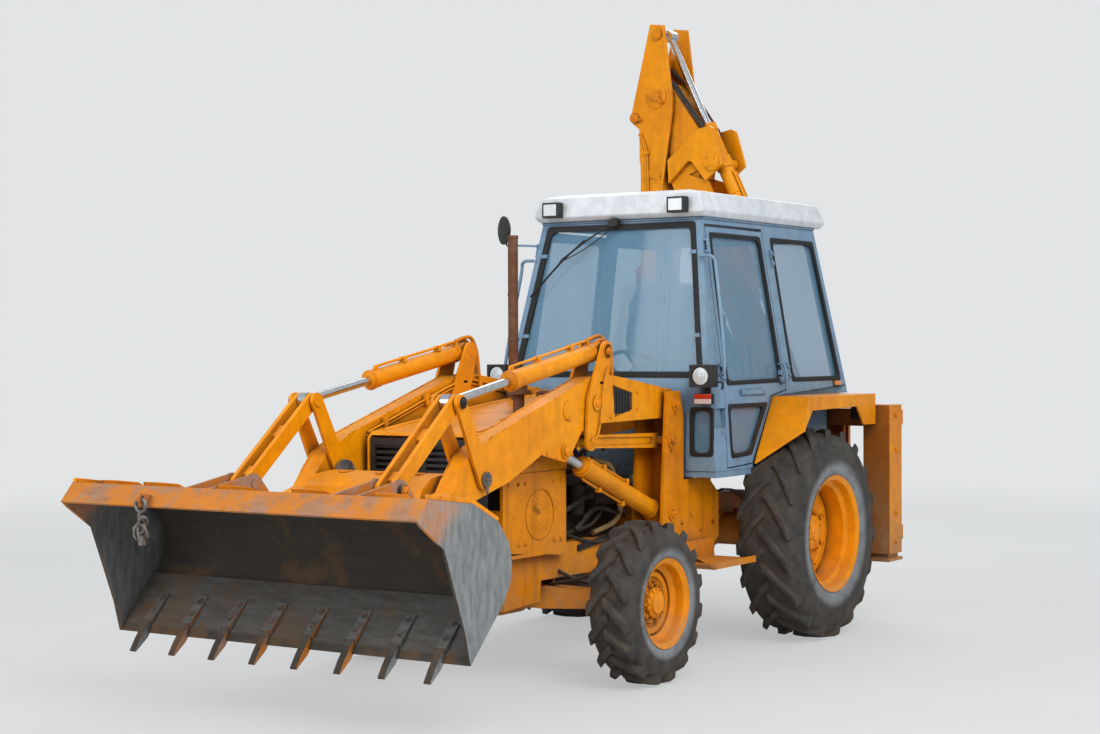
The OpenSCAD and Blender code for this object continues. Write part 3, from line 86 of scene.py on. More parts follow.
class Graph:
    """A node material built by short calls. Coordinates are the object's own, so they move with it."""

    def __init__(self, name):
        self.material = bpy.data.materials.new(name)
        self.material.use_nodes = True
        self.tree = self.material.node_tree
        self.tree.nodes.clear()
        self.out = self.tree.nodes.new("ShaderNodeOutputMaterial")
        self.shader = self.tree.nodes.new("ShaderNodeBsdfPrincipled")
        self.tree.links.new(self.shader.outputs[0], self.out.inputs[0])
        coordinates = self.tree.nodes.new("ShaderNodeTexCoord")
        self.place = coordinates.outputs["Object"]
        self.normal = coordinates.outputs["Normal"]

    def put(self, socket, value):
        """Links a socket's value from another socket, or sets it."""
        if isinstance(value, bpy.types.NodeSocket):
            self.tree.links.new(value, socket)
        else:
            socket.default_value = value

    def node(self, kind, values, **settings):
        made = self.tree.nodes.new(kind)
        for key, value in settings.items():
            setattr(made, key, value)
        for key, value in values.items():
            self.put(made.inputs[key], value)
        return made

    def math(self, operation, a, b=0.0, clamp=False):
        return self.node("ShaderNodeMath", {0: a, 1: b}, operation=operation, use_clamp=clamp).outputs[0]

    def times(self, *values):
        total = values[0]
        for value in values[1:]:
            total = self.math("MULTIPLY", total, value)
        return total

    def noise(self, scale, detail=4.0, roughness=0.55, stretch=(1, 1, 1), bend=0.0):
        place = self.node("ShaderNodeMapping", {"Vector": self.place, "Scale": stretch}).outputs[0]
        values = {"Vector": place, "Scale": scale, "Detail": detail, "Roughness": roughness, "Distortion": bend}
        return self.node("ShaderNodeTexNoise", values).outputs["Fac"]

    def step(self, value, low, high, to_low=0.0, to_high=1.0):
        """A smooth rise of value between low and high; low may be the larger of the two."""
        values = {"Value": value, "From Min": low, "From Max": high, "To Min": to_low, "To Max": to_high}
        return self.node("ShaderNodeMapRange", values, interpolation_type="SMOOTHSTEP").outputs[0]

    def part(self, vector, axis):
        return self.node("ShaderNodeSeparateXYZ", {0: vector}).outputs[axis]

    def blend(self, factor, a, b, kind="MIX"):
        made = self.node("ShaderNodeMix", {}, data_type="RGBA", blend_type=kind)
        self.put(made.inputs[0], factor)
        self.put(made.inputs[6], a)
        self.put(made.inputs[7], b)
        return made.outputs[2]

    def closeness(self, distance, samples=6, inside=False):
        """1 in a corner that other faces shade, or on an outer edge with inside, and 0 in the open."""
        values = {"Distance": distance}
        made = self.node("ShaderNodeAmbientOcclusion", values, samples=samples, inside=inside, only_local=inside)
        return self.math("SUBTRACT", 1.0, made.outputs["AO"], clamp=True)

    def finish(self, colour, roughness, metallic=0.0, bump=None, depth=0.002, strength=0.6, **values):
        self.put(self.shader.inputs["Base Color"], colour)
        self.put(self.shader.inputs["Roughness"], roughness)
        self.put(self.shader.inputs["Metallic"], metallic)
        if bump is not None:
            made = self.node("ShaderNodeBump", {"Height": bump, "Strength": strength, "Distance": depth})
            self.put(self.shader.inputs["Normal"], made.outputs[0])
        for key, value in values.items():
            self.put(self.shader.inputs[key.replace("_", " ")], value)
        return self.material


DUST = srgb(148, 128, 100)
# Mud colour, also laid on as painted shade in the corners of bare steel
MUD_AND_SHADE = srgb(84, 68, 50)
RUST = srgb(92, 48, 22)
# Near black for grime in corners, laid on as painted shade too
GRIME_AND_SHADE = srgb(46, 32, 20)


def paint(name, fresh, faded, dust=0.5, wear=0.5, rough=0.4, streak=0.35, low=0.9, shaded_side_colour=None):
    """Old machine paint: faded in patches, streaked, dusty near the ground and chipped to rust, with grime and
    painted shade in corners, and painted shade on the faces turned along the machine where a side colour is given.
    """
    g = Graph(name)
    up = g.part(g.normal, 2)
    height = g.part(g.place, 2)
    patches = g.step(g.noise(1.7, 3, 0.6), 0.36, 0.66)
    colour = g.blend(patches, fresh, faded)
    if shaded_side_colour:
        # Faces turned along the machine take the side colour: painted shade
        shaded_facing = g.step(g.math("ABSOLUTE", g.part(g.normal, 0)), 0.5, 0.8, 0.0, 0.9)
        colour = g.blend(shaded_facing, colour, shaded_side_colour)
    mottle = g.step(g.noise(14, 6, 0.65), 0.25, 0.75, 0.86, 1.08)
    grey = g.node("ShaderNodeCombineColor", {0: mottle, 1: mottle, 2: mottle}).outputs[0]
    colour = g.blend(1.0, colour, grey, "MULTIPLY")
    upright = g.step(g.math("ABSOLUTE", up), 0.75, 0.35)
    streaks = g.times(g.step(g.noise(7, 5, 0.6, (1, 1, 0.1), 0.4), 0.52, 0.72), upright, streak)
    colour = g.blend(streaks, colour, srgb(122, 72, 26))
    # Corners that other faces shade go dark: grime with painted shade
    corner = g.closeness(0.14)
    grime_and_corner_shade = g.times(g.step(corner, 0.22, 0.75), g.step(g.noise(5, 4, 0.6), 0.2, 0.6, 0.5, 1.0), 0.8)
    colour = g.blend(grime_and_corner_shade, colour, GRIME_AND_SHADE)
    settled = g.times(g.step(up, 0.45, 0.95), g.step(g.noise(3.2, 6, 0.7), 0.34, 0.66), dust * 0.75)
    near_ground = g.times(g.step(height, low, 0.35), g.step(g.noise(4.5, 6, 0.7), 0.3, 0.62), dust)
    dirty = g.math("MAXIMUM", settled, near_ground)
    colour = g.blend(dirty, colour, DUST)
    edge = g.step(g.closeness(0.012, 4, True), 0.5, 0.8)
    specks = g.times(g.step(g.noise(42, 3, 0.7), 0.64, 0.68), g.step(g.noise(2.6, 4, 0.6), 0.5, 0.6))
    rubbed = g.times(edge, g.step(g.noise(11, 4, 0.7), 0.52, 0.6))
    chips = g.math("MULTIPLY", g.math("MAXIMUM", specks, rubbed), wear, clamp=True)
    colour = g.blend(chips, colour, g.blend(g.noise(60, 2), RUST, srgb(58, 36, 26)))
    dull = g.math("MAXIMUM", g.math("MAXIMUM", dirty, grime_and_corner_shade), chips)
    roughness = g.step(dull, 0.0, 0.7, rough, 0.86)
    bump = g.math("SUBTRACT", g.times(g.noise(120, 3, 0.6), 0.25), g.times(chips, 0.8))
    return g.finish(colour, roughness, 0.0, bump, 0.0012, 0.5, Coat_Weight=0.0525, Coat_Roughness=0.25,
                    Specular_IOR_Level=0.22)


def steel(name, base, light, dirt=0.5, rough=0.45, metal=0.75):
    """Bare metal: scratched along one way, with rust in patches, and mud with painted shade in corners that other
    faces shade.
    """
    g = Graph(name)
    scratches = g.noise(30, 8, 0.75, (1, 0.15, 1), 0.2)
    colour = g.blend(g.step(scratches, 0.35, 0.7), base, light)
    rusty = g.times(g.step(g.noise(3, 6, 0.7), 0.45, 0.65), dirt)
    colour = g.blend(rusty, colour, RUST)
    # Corners that other faces shade take the mud colour: mud with painted shade
    mud_and_corner_shade = g.times(g.step(g.closeness(0.1), 0.2, 0.7), dirt)
    colour = g.blend(mud_and_corner_shade, colour, MUD_AND_SHADE)
    dull = g.math("MAXIMUM", rusty, mud_and_corner_shade)
    return g.finish(colour, g.step(dull, 0, 0.6, rough, 0.88), g.step(dull, 0, 0.5, metal, 0.0),
                    scratches, 0.001, 0.4)


def plastic(name, base, light, rough=0.6, scale=140, dust=0.3, sheen=0.0):
    """Moulded plastic, rubber or hose: fine grain, a little dust on top."""
    g = Graph(name)
    grain = g.noise(scale, 3, 0.6)
    colour = g.blend(g.step(g.noise(6, 4, 0.6), 0.35, 0.7), base, light)
    settled = g.times(g.step(g.part(g.normal, 2), 0.2, 0.9), g.step(g.noise(9, 5, 0.7), 0.35, 0.65), dust)
    colour = g.blend(settled, colour, DUST)
    return g.finish(colour, g.step(settled, 0, 0.6, rough, 0.9), 0.0, grain, 0.0006, 0.35, Sheen_Weight=sheen)


def glass(name, tint, alpha, haze):
    """Window glass: tinted, with a haze of dust in patches."""
    g = Graph(name)
    film = g.times(g.step(g.noise(1.6, 4, 0.6, (1, 1, 0.5)), 0.35, 0.75), haze)
    colour = g.blend(film, tint, srgb(176, 192, 200))
    return g.finish(colour, g.step(film, 0, 0.5, 0.05, 0.3), 0.0, None, Alpha=g.math("ADD", alpha, film, clamp=True),
                    IOR=1.52, Coat_Weight=1.0, Coat_Roughness=0.03)


def rubber_tyre(name, bead, tread):
    """Tyre rubber round the local Y axis: scuffed pale ring by the rim, mud in the tread."""
    g = Graph(name)
    x, y, z = (g.part(g.place, i) for i in range(3))
    radius = g.math("SQRT", g.math("ADD", g.times(x, x), g.times(z, z)))
    patches = g.noise(9, 6, 0.7)
    colour = g.blend(g.step(patches, 0.3, 0.7), srgb(38, 36, 35), srgb(74, 70, 66))
    side = g.step(g.math("ABSOLUTE", g.part(g.normal, 1)), 0.55, 0.85)
    ring = g.times(g.step(radius, bead + 0.42 * (tread - bead), bead + 0.2 * (tread - bead)), side)
    scuffed = g.times(ring, g.step(g.noise(5, 6, 0.75), 0.28, 0.6, 0.35, 0.95))
    colour = g.blend(scuffed, colour, g.blend(g.noise(24, 4, 0.7), srgb(112, 118, 124), srgb(150, 154, 158)))
    groove = g.times(g.step(g.closeness(0.07, 6), 0.18, 0.62), g.step(g.noise(7, 5, 0.7), 0.25, 0.55))
    colour = g.blend(groove, colour, g.blend(g.noise(40, 4, 0.7), srgb(62, 50, 39), srgb(98, 82, 64)))
    outer = g.step(radius, bead + 0.3 * (tread - bead), tread - 0.03)
    caked = g.times(g.step(g.noise(3.1, 7, 0.75), 0.5, 0.7), outer, 0.75)
    colour = g.blend(caked, colour, srgb(88, 76, 62))
    bump = g.math("ADD", g.times(g.noise(90, 5, 0.7), 0.5), g.times(g.noise(18, 6, 0.75), 1.6))
    return g.finish(colour, g.step(patches, 0.3, 0.7, 0.72, 0.92), 0.0, bump, 0.004, 0.8)


def bucket_paint(name, lip):
    """A working bucket: scraped steel, paint that is left where lip says, the inside darkened with mud and painted
    shade, and painted shade in its corners.
    """
    g = Graph(name)
    x, y, z = (g.part(g.normal, i) for i in range(3))
    sideways = g.step(g.math("ABSOLUTE", y), 0.6, 0.8)
    scratch = g.noise(22, 8, 0.78, (1, 0.2, 1), 0.3)
    bare = g.blend(g.step(scratch, 0.3, 0.74), srgb(86, 87, 86), srgb(134, 136, 134))
    orange = g.blend(g.noise(4, 5, 0.6), srgb(205, 124, 26), srgb(176, 104, 36))
    # Near black for the hollow: mud and painted shade
    hollow_mud_and_shade = g.blend(g.noise(6, 6, 0.7), srgb(30, 26, 21), srgb(62, 52, 41))
    outward = lip(g, x, z, sideways)
    side_scratch = g.noise(34, 6, 0.7, (1, 1, 0.25))
    side_steel = g.blend(g.step(side_scratch, 0.3, 0.7), srgb(110, 114, 117), srgb(146, 150, 152))
    bare = g.blend(sideways, bare, side_steel)
    # Faces turned into the bucket's hollow go near black: mud with painted shade
    inward = g.step(g.math("SUBTRACT", g.times(z, 0.7), g.times(x, 0.7)), 0.15, -0.15)
    worn = g.step(g.noise(3.4, 7, 0.72), 0.42, 0.6)
    colour = g.blend(g.times(outward, g.step(worn, 0, 1, 1.0, 0.45)), bare, orange)
    hollow = g.times(inward, g.step(sideways, 0, 1, 1, 0), g.step(outward, 0, 1, 1, 0))
    colour = g.blend(g.times(hollow, 0.92), colour, hollow_mud_and_shade)
    clods = g.times(hollow, g.step(g.noise(2.4, 5, 0.65), 0.5, 0.62), 0.8)
    colour = g.blend(clods, colour, srgb(92, 68, 43))
    rusty = g.times(g.step(g.noise(3.5, 6, 0.7), 0.55, 0.75), g.step(sideways, 0, 1, 0.55, 0.25))
    colour = g.blend(rusty, colour, RUST)
    # Corners that other faces shade go near black: painted shade, with dirt
    corner = g.times(g.step(g.closeness(0.12), 0.2, 0.7), 0.7)
    colour = g.blend(corner, colour, srgb(48, 40, 32))
    dull = g.math("MAXIMUM", g.math("MAXIMUM", hollow, rusty), outward)
    bump = g.math("ADD", g.times(scratch, 0.3), g.times(g.noise(16, 6, 0.7), 0.6))
    return g.finish(colour, g.step(dull, 0, 0.8, 0.52, 0.86), g.step(dull, 0, 0.6, 0.35, 0.0), bump, 0.0014, 0.5)


def loader_lip(g, x, z, sideways):
    """Where the loader bucket keeps its paint: the lip box, and the ears and back plates."""
    along, across, height = (g.part(g.place, i) for i in range(3))
    upper = g.step(g.math("ADD", height, g.times(along, 0.9)), 3.62, 3.78)
    lip = g.times(upper, g.math("SUBTRACT", 1.0, g.times(sideways, 0.45)))
    back = g.step(g.math("SUBTRACT", g.times(z, 0.5), x), 0.2, 0.4)
    ears = g.times(g.step(g.math("ABSOLUTE", across), 0.70, 0.66), sideways)
    return g.math("MAXIMUM", g.math("MAXIMUM", lip, back), ears)


def hoe_lip(g, *_):
    """Paint is left on the digging bucket's top."""
    return g.times(g.step(g.part(g.place, 2), 2.25, 2.45), 0.9)


ORANGE = paint("orange_paint", srgb(240, 152, 0), srgb(228, 138, 4), dust=0.3, streak=0.25)
ORANGE_WORN = paint("orange_paint_worn", srgb(234, 144, 2), srgb(214, 124, 8), wear=0.8, streak=0.45, low=1.0)
ORANGE_RIM = paint("orange_rim_paint", srgb(238, 148, 4), srgb(226, 134, 10), dust=0.35, wear=0.35, streak=0.15,
                   low=0.4)
# The columns are chipped to rust, and their front and back faces get a brown painted shade
COLUMN = paint("rusty_column_paint_shaded_front", srgb(232, 142, 8), srgb(206, 118, 16), dust=0.6, wear=1.0, streak=0.7, low=1.3,
               shaded_side_colour=srgb(136, 76, 30))
CAB_BLUE = paint("grey_blue_paint", srgb(112, 144, 174), srgb(122, 150, 172), dust=0.3, wear=0.35, streak=0.18)
ROOF_WHITE = paint("white_paint", srgb(216, 222, 228), srgb(206, 213, 220), dust=0.15, wear=0.12, streak=0.08)
CAST = paint("dark_cast_paint", srgb(54, 50, 46), srgb(38, 34, 31), dust=0.5, wear=0.5, rough=0.6, streak=0.2)
RUSTY = steel("rusty_steel", srgb(94, 62, 44), srgb(122, 84, 60), 0.9, 0.75, 0.2)
BARE = steel("worn_steel", srgb(96, 96, 95), srgb(150, 150, 148), 0.45)
CHROME = steel("chromed_rod", srgb(196, 200, 204), srgb(222, 225, 228), 0.06, 0.16, 1.0)
BLACK = plastic("black_plastic", srgb(26, 26, 27), srgb(40, 40, 41))
SEAL = plastic("black_rubber_seal", srgb(20, 20, 21), srgb(32, 32, 33), 0.7, 200, 0.15)
HOSE = plastic("black_hose", srgb(28, 27, 26), srgb(46, 43, 40), 0.55, 260, 0.35)
PALE_HOSE = plastic("pale_hose", srgb(150, 124, 74), srgb(112, 90, 56), 0.6, 200, 0.5)
VINYL = plastic("seat_vinyl", srgb(40, 38, 37), srgb(58, 54, 50), 0.5, 320, 0.25, 0.2)
GLASS = glass("window_glass", srgb(112, 164, 198), 0.33, 0.11)
LOADER_BUCKET = bucket_paint("loader_bucket_steel", loader_lip)
DIG_BUCKET = bucket_paint("digging_bucket_steel", hoe_lip)


def lens(name, tint, light):
    """A moulded lamp lens with ribs."""
    g = Graph(name)
    ribs = g.node("ShaderNodeTexWave", {"Vector": g.place, "Scale": 30.0, "Distortion": 0.5}).outputs["Fac"]
    colour = g.blend(g.step(ribs, 0.2, 0.8), tint, light)
    return g.finish(colour, g.step(ribs, 0, 1, 0.12, 0.3), 0.0, ribs, 0.001, 0.4, Coat_Weight=0.8)


CLEAR_LENS = lens("clear_lens", srgb(190, 198, 204), srgb(226, 230, 232))
RED_LENS = lens("red_lens", srgb(178, 28, 18), srgb(206, 54, 34))
AMBER_LENS = lens("amber_lens", srgb(212, 110, 14), srgb(232, 142, 40))
WHITE_LENS = lens("white_lens", srgb(198, 176, 172), srgb(220, 206, 200))
FRONT_RUBBER = rubber_tyre("front_tyre_rubber", FRONT_TYRE["bead"], FRONT_TYRE["r"])
REAR_RUBBER = rubber_tyre("rear_tyre_rubber", REAR_TYRE["bead"], REAR_TYRE["r"])


# Mesh tools

def ring(centre, side, other, r, n):
    """n points round a centre, in the plane of two unit vectors."""
    return [centre + (side * math.cos(t) + other * math.sin(t)) * r for t in (math.tau * i / n for i in range(n))]


def circle(x, y, r, n, start=0.0):
    """n places in millimetres round a circle, the first at the angle start."""
    return [(x + r * math.cos(a), y + r * math.sin(a)) for a in (start + math.tau * i / n for i in range(n))]


class Kit:
    """Closed shapes gathered into one mesh."""

    def __init__(self):
        self.verts, self.faces = [], []

    def add(self, verts, faces):
        base = len(self.verts)
        self.verts += [tuple(v) for v in verts]
        self.faces += [tuple(base + i for i in face) for face in faces]
        return self

    def rings(self, rings, closed=False):
        """A skin over rings of equal count, with its ends filled unless it closes on itself."""
        n = len(rings[0])
        verts = [p for row in rings for p in row]
        faces = []
        last = len(rings) if closed else len(rings) - 1
        for k in range(last):
            a, b = k * n, (k + 1) % len(rings) * n
            faces += [(a + i, a + (i + 1) % n, b + (i + 1) % n, b + i) for i in range(n)]
        if not closed:
            faces += [tuple(range(n - 1, -1, -1)), tuple(range(len(verts) - n, len(verts)))]
        return self.add(verts, faces)

    def box(self, low, high):
        """A box between two opposite corners."""
        (x0, y0, z0), (x1, y1, z1) = low, high
        return self.rings([[(x0, y0, z), (x1, y0, z), (x1, y1, z), (x0, y1, z)] for z in (z0, z1)])

    def prism(self, outline, place):
        """An outline of 2D points carried to both ends by place(point, end)."""
        return self.rings([[place(p, 0) for p in outline], [place(p, 1) for p in outline]])

    def slab(self, outline, y0, y1):
        """A side profile in the machine's millimetres, from y0 to y1."""
        return self.prism(outline, lambda p, end: at(p[0], p[1], (y0, y1)[end]))

    def hoe_slab(self, outline, y0, y1):
        return self.prism(outline, lambda p, end: hoe(p[0], p[1], (y0, y1)[end]))

    def lathe(self, base, way, profile, n=24):
        """Turns (along, radius) pairs round the line from base along way."""
        way = Vector(way).normalized()
        side = way.orthogonal().normalized()
        other = way.cross(side)
        return self.rings([ring(Vector(base) + way * a, side, other, max(r, 1e-4), n) for a, r in profile])

    def disc(self, base, way, r, h, n=24):
        """A round plate with its far edge broken."""
        e = min(r, abs(h)) * 0.18 * (1 if h > 0 else -1)
        return self.lathe(base, way, [(0, r), (h - e, r), (h, r - abs(e))], n)

    def nut(self, base, way, r, h):
        """Washer, nut and bolt end."""
        self.lathe(base, way, [(0, r * 1.35), (h * 0.2, r * 1.35)], 14)
        self.lathe(base, way, [(h * 0.2, r), (h * 0.9, r), (h, r * 0.85)], 6)
        return self.lathe(base, way, [(h, r * 0.5), (h * 1.35, r * 0.48)], 8)

    def tube(self, points, r, n=8, smooth=True, closed=False):
        """A round bar or hose through points, rounded by a smooth curve."""
        line = curve(points, closed) if smooth else [Vector(p) for p in points]
        count = len(line)
        rings, side = [], None
        for i, p in enumerate(line):
            if closed:
                way = (line[(i + 1) % count] - line[i - 1]).normalized()
            else:
                way = (line[min(i + 1, count - 1)] - line[max(i - 1, 0)]).normalized()
            side = way.orthogonal() if side is None else side - way * side.dot(way)
            side.normalize()
            other = way.cross(side)
            rings.append(ring(p, side, other, r, n))
        if closed:
            return self.closed_tube(rings)
        return self.rings(rings)

    def closed_tube(self, rings):
        """Joins the last ring to the first at the turn that fits best."""
        n = len(rings[0])
        shift = min(range(n), key=lambda k: (rings[-1][0] - rings[0][k]).length)
        rings = rings + [[rings[0][(i + shift) % n] for i in range(n)]]
        base = len(self.verts)
        self.rings(rings)
        del self.faces[-2:]
        first, last = base, base + (len(rings) - 1) * n
        swap = {last + i: first + (i + shift) % n for i in range(n)}
        self.faces = [tuple(swap.get(i, i) for i in face) for face in self.faces]
        return self

    def mirrored(self):
        """This kit with its mirror image across the machine's middle."""
        base = len(self.verts)
        self.verts += [(x, -y, z) for x, y, z in self.verts]
        self.faces += [tuple(base + i for i in reversed(face)) for face in self.faces]
        return self


def curve(points, closed=False):
    """Points of a smooth curve through the given ones."""
    steps = 6
    pts = [Vector(p) for p in points]
    n = len(pts)
    if n < 3:
        return pts
    out = []
    for i in range(n if closed else n - 1):
        p1, p2 = pts[i], pts[(i + 1) % n]
        p0 = pts[i - 1] if closed or i else p1 * 2 - p2
        p3 = pts[(i + 2) % n] if closed or i + 2 < n else p2 * 2 - p1
        for k in range(steps):
            t = k / steps
            out.append(0.5 * (2 * p1 + (p2 - p0) * t + (2 * p0 - 5 * p1 + 4 * p2 - p3) * t * t
                              + (3 * p1 - p0 - 3 * p2 + p3) * t ** 3))
    return out if closed else out + [pts[-1]]


def tidy_mesh(mesh):
    """Takes out loose points and turns every face outwards."""
    work = bmesh.new()
    work.from_mesh(mesh)
    bmesh.ops.remove_doubles(work, verts=[v for v in work.verts if not v.link_edges], dist=1e-6)
    bmesh.ops.recalc_face_normals(work, faces=work.faces)
    work.to_mesh(mesh)
    work.free()


def soft_edges(made, width, angle):
    """A narrow bevel on every edge that turns by more than angle degrees."""
    soft = made.modifiers.new("soft_edges", "BEVEL")
    soft.width, soft.segments = width, 2
    soft.limit_method, soft.angle_limit = "ANGLE", math.radians(angle)


def piece(name, kit, body, material, bevel=0.0, angle=38, origin=(0, 0, 0)):
    """One named piece from a kit, riding on a body, in its material's slot."""
    mesh = bpy.data.meshes.new(name)
    mesh.from_pydata([Vector(v) - Vector(origin) for v in kit.verts], [], kit.faces)
    tidy_mesh(mesh)
    mesh.materials.append(material)
    mesh.shade_smooth()
    mesh.set_sharp_from_angle(angle=math.radians(angle))
    made = bpy.data.objects.new(name, mesh)
    made.location = origin
    bpy.context.scene.collection.objects.link(made)
    if bevel:
        soft_edges(made, bevel, 40)
    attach(made, body)
    return made


def dress(material, nodes, bevel=0.0035):
    """Gives CAD nodes their material and softens their edges."""
    for name in nodes.split():
        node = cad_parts[name]
        for place in node.material_slots:
            place.material = material
        if bevel:
            node.modifiers.new("weld", "WELD").merge_threshold = 1e-5
            flat = node.modifiers.new("flat", "DECIMATE")
            flat.decimate_type = "DISSOLVE"
            flat.angle_limit = math.radians(0.6)
            soft_edges(node, bevel, 32)
            node.modifiers.new("normals", "WEIGHTED_NORMAL")


dress(ORANGE, "bonnet loader_arms levelling_levers levelling_links swing_levers tipping_links "
      "rear_fenders boom kingpost dipper bucket_rocker bucket_link")
dress(ORANGE, "lift_barrels tilt_barrels boom_ram_barrel dipper_ram_barrel bucket_ram_barrel", 0.002)
dress(ORANGE_WORN, "chassis_frame front_axle rear_axle side_steps knuckle_left knuckle_right")
dress(ORANGE_RIM, "front_rim_left front_rim_right rear_rim_left rear_rim_right", 0.002)
dress(COLUMN, "rear_frame carriage stabiliser_left stabiliser_right")
dress(CAB_BLUE, "cab_base cab_frame door_left door_right", 0.003)
dress(ROOF_WHITE, "cab_roof", 0.012)
dress(GLASS, "cab_glass door_glass_left door_glass_right", 0)
dress(BLACK, "grille lamps cab_controls", 0.003)
dress(CAST, "engine_block", 0.006)
dress(RUSTY, "exhaust_stack", 0.002)
dress(BARE, "swing_pins bucket_pins lip_chain", 0.002)
dress(CHROME, "lift_rods tilt_rods boom_ram_rod dipper_ram_rod bucket_ram_rod", 0.001)
dress(LOADER_BUCKET, "loader_bucket", 0.003)
dress(DIG_BUCKET, "dig_bucket", 0.003)


# Tyres

def tyre(name, node, body, centre, material, r, w, bead, lugs, lug_w, sweep):
    """A traction tyre: round carcass, ringed sidewalls, and curved lugs that run down the shoulder.

    bead is the inner radius, lugs their count on each side and sweep the angle that each one trails by.
    """
    kit = Kit()
    tread, wall, shoulder = r - 0.034, r - bead, 0.72
    half = w / 2
    steps = 96
    outline = [
        (half - 0.036, bead), (half - 0.020, bead + 0.05 * wall), (half - 0.009, bead + 0.14 * wall),
        (half - 0.006, bead + 0.17 * wall), (half - 0.008, bead + 0.20 * wall), (half - 0.003, bead + 0.32 * wall),
        (half - 0.001, bead + 0.36 * wall), (half - 0.003, bead + 0.39 * wall), (half - 0.004, bead + 0.52 * wall),
        (half - 0.010, bead + 0.64 * wall), (half - 0.024, tread - 0.028), (half - 0.046, tread - 0.010),
        (half - 0.085, tread - 0.001), (half * 0.45, tread + 0.002), (0.0, tread + 0.003)]
    profile = outline + [(-a, b) for a, b in reversed(outline[:-1])] + [(-half + 0.05, bead), (half - 0.05, bead)]
    kit.rings([[Vector((rad * math.cos(t), y, rad * math.sin(t))) for y, rad in profile]
               for t in (math.tau * i / steps for i in range(steps))], closed=True)

    def lug_section(t, s, turn, shift):
        """One cut through a lug, t from the middle of the tread to the sidewall."""
        flat = min(t / shoulder, 1.0)
        down = max(t - shoulder, 0.0) / (1 - shoulder)
        y = s * (-0.012 + (half - 0.020) * flat + 0.014 * math.sin(down * math.pi / 2))
        top = r - 0.002 - 0.006 * flat ** 3 - 0.105 * down ** 1.5
        lift = 0.045 * (1 - 0.55 * down)
        width = lug_w * (0.86 + 0.34 * flat) * (1 - 0.25 * down)
        angle = turn - (sweep * flat ** 1.25 + 0.018 * down)
        lean = Vector((0, s * math.sin(down * 1.25), math.cos(down * 1.25)))
        points = []
        for across, rise in ((-0.62, 0), (-0.55, 0.55), (-0.47, 0.93), (-0.34, 1.0), (0.34, 1.0), (0.47, 0.93),
                             (0.55, 0.55), (0.62, 0)):
            height = top - lift * (1 - rise) * lean.z
            yy = y - s * lift * (1 - rise) * abs(lean.y)
            a = angle + across * width / top
            bite = 0.004 * noise.noise(Vector((a * 9 + shift, y * 14, rise)))
            points.append(Vector((height * math.cos(a) + bite, yy, height * math.sin(a) + bite)))
        return points

    for i in range(lugs):
        for s in (1, -1):
            turn = (i + 0.25 * s) * math.tau / lugs
            kit.rings([lug_section(k / 11, s, turn, i * 1.7) for k in range(12)])
    made = piece(name, Kit().add([Vector(v) + centre for v in kit.verts], kit.faces), body, material,
                 angle=50, origin=centre)
    # Nothing reaches past the tyre's own radius and width
    for v in made.data.vertices:
        v.co.y = max(-half, min(half, v.co.y))
        rad = math.hypot(v.co.x, v.co.z)
        if rad > r:
            v.co.x, v.co.z = v.co.x * r / rad, v.co.z * r / rad
    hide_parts(node)
    return made


for word, s in SIDES:
    tyre(f"front_tread_{word}", f"front_tyre_{word}", f"wheel_front_{word}", at(*FRONT_WHEEL, s * FRONT_TRACK),
         FRONT_RUBBER, **FRONT_TYRE)
    tyre(f"rear_tread_{word}", f"rear_tyre_{word}", f"wheel_rear_{word}", at(*REAR_WHEEL, s * REAR_TRACK),
         REAR_RUBBER, **REAR_TYRE)


# Wheels

FRONT_HUB = [(0, 0.104), (0.012, 0.104), (0.014, 0.090), (0.040, 0.086), (0.044, 0.070), (0.052, 0.066),
             (0.053, 0.030), (0.060, 0.028), (0.061, 0.001)]
REAR_HUB = [(0, 0.118), (0.052, 0.112), (0.066, 0.090), (0.067, 0.060), (0.078, 0.052), (0.080, 0.001)]


def wheel_parts(body, s, centre, y, hub, caps, studs, valve):
    """Hub and its small caps, wheel studs and valve on one wheel; y is the face that the studs stand on.

    caps is (circle's radius, count, first angle, height over the hub's foot, size), studs (circle's radius,
    count, radius of the circle of plugs between them or none) and valve (radius, its two ends across).
    """
    kit = Kit()
    way = Vector((0, s, 0))
    kit.lathe(at(*centre, s * (y + 2)), way, hub, 40)
    reach, count, start, proud, size = caps
    for spot in circle(*centre, reach, count, start):
        kit.nut(at(*spot, s * (y + 2 + proud)), way, size, size)
    reach, count, plugs = studs
    for spot in circle(*centre, reach, count):
        kit.nut(at(*spot, s * y), way, 0.016, 0.030)
    for spot in circle(*centre, plugs, count, math.pi / count) if plugs else ():
        kit.disc(at(*spot, s * (y + 14)), way, 0.020, 0.006, 12)
    r, inner, outer = valve
    kit.tube([at(centre[0] + r * k, centre[1] + r * k, s * across) for k, across in ((0.7, inner), (0.66, outer))],
             0.007, 8, False)
    piece(f"{body}_hub_parts", kit, body, ORANGE_RIM, 0.001)


for word, s in SIDES:
    wheel_parts(f"wheel_front_{word}", s, FRONT_WHEEL, FRONT_TRACK + 24, FRONT_HUB, (79, 12, 0.0, 43, 0.006),
                (110, 10, None), (205, FRONT_TRACK + 60, FRONT_TRACK + 86))
    wheel_parts(f"wheel_rear_{word}", s, REAR_WHEEL, REAR_TRACK - 16, REAR_HUB, (78, 6, math.pi / 6, 64, 0.008),
                (160, 8, 160 * 1.42), (322, REAR_TRACK + 95, REAR_TRACK + 130))


# Cab trim

def on_line(line, place):
    """The value at a place on a line of (place, value) corners, carried on straight past its ends."""
    (a, p), (b, q) = next((leg for leg in zip(line, line[1:]) if place <= leg[1][0]), line[-2:])
    return p + (q - p) * (place - a) / (b - a)


def cab_y(z):
    """Half the cab's width at a height."""
    return on_line([(1100, 822), (1650, 765), (2745, 600)], z)


def cab_x(z):
    """The cab's front at a height."""
    return on_line([(1100, 1052), (1650, 1045), (2745, 833)], z)


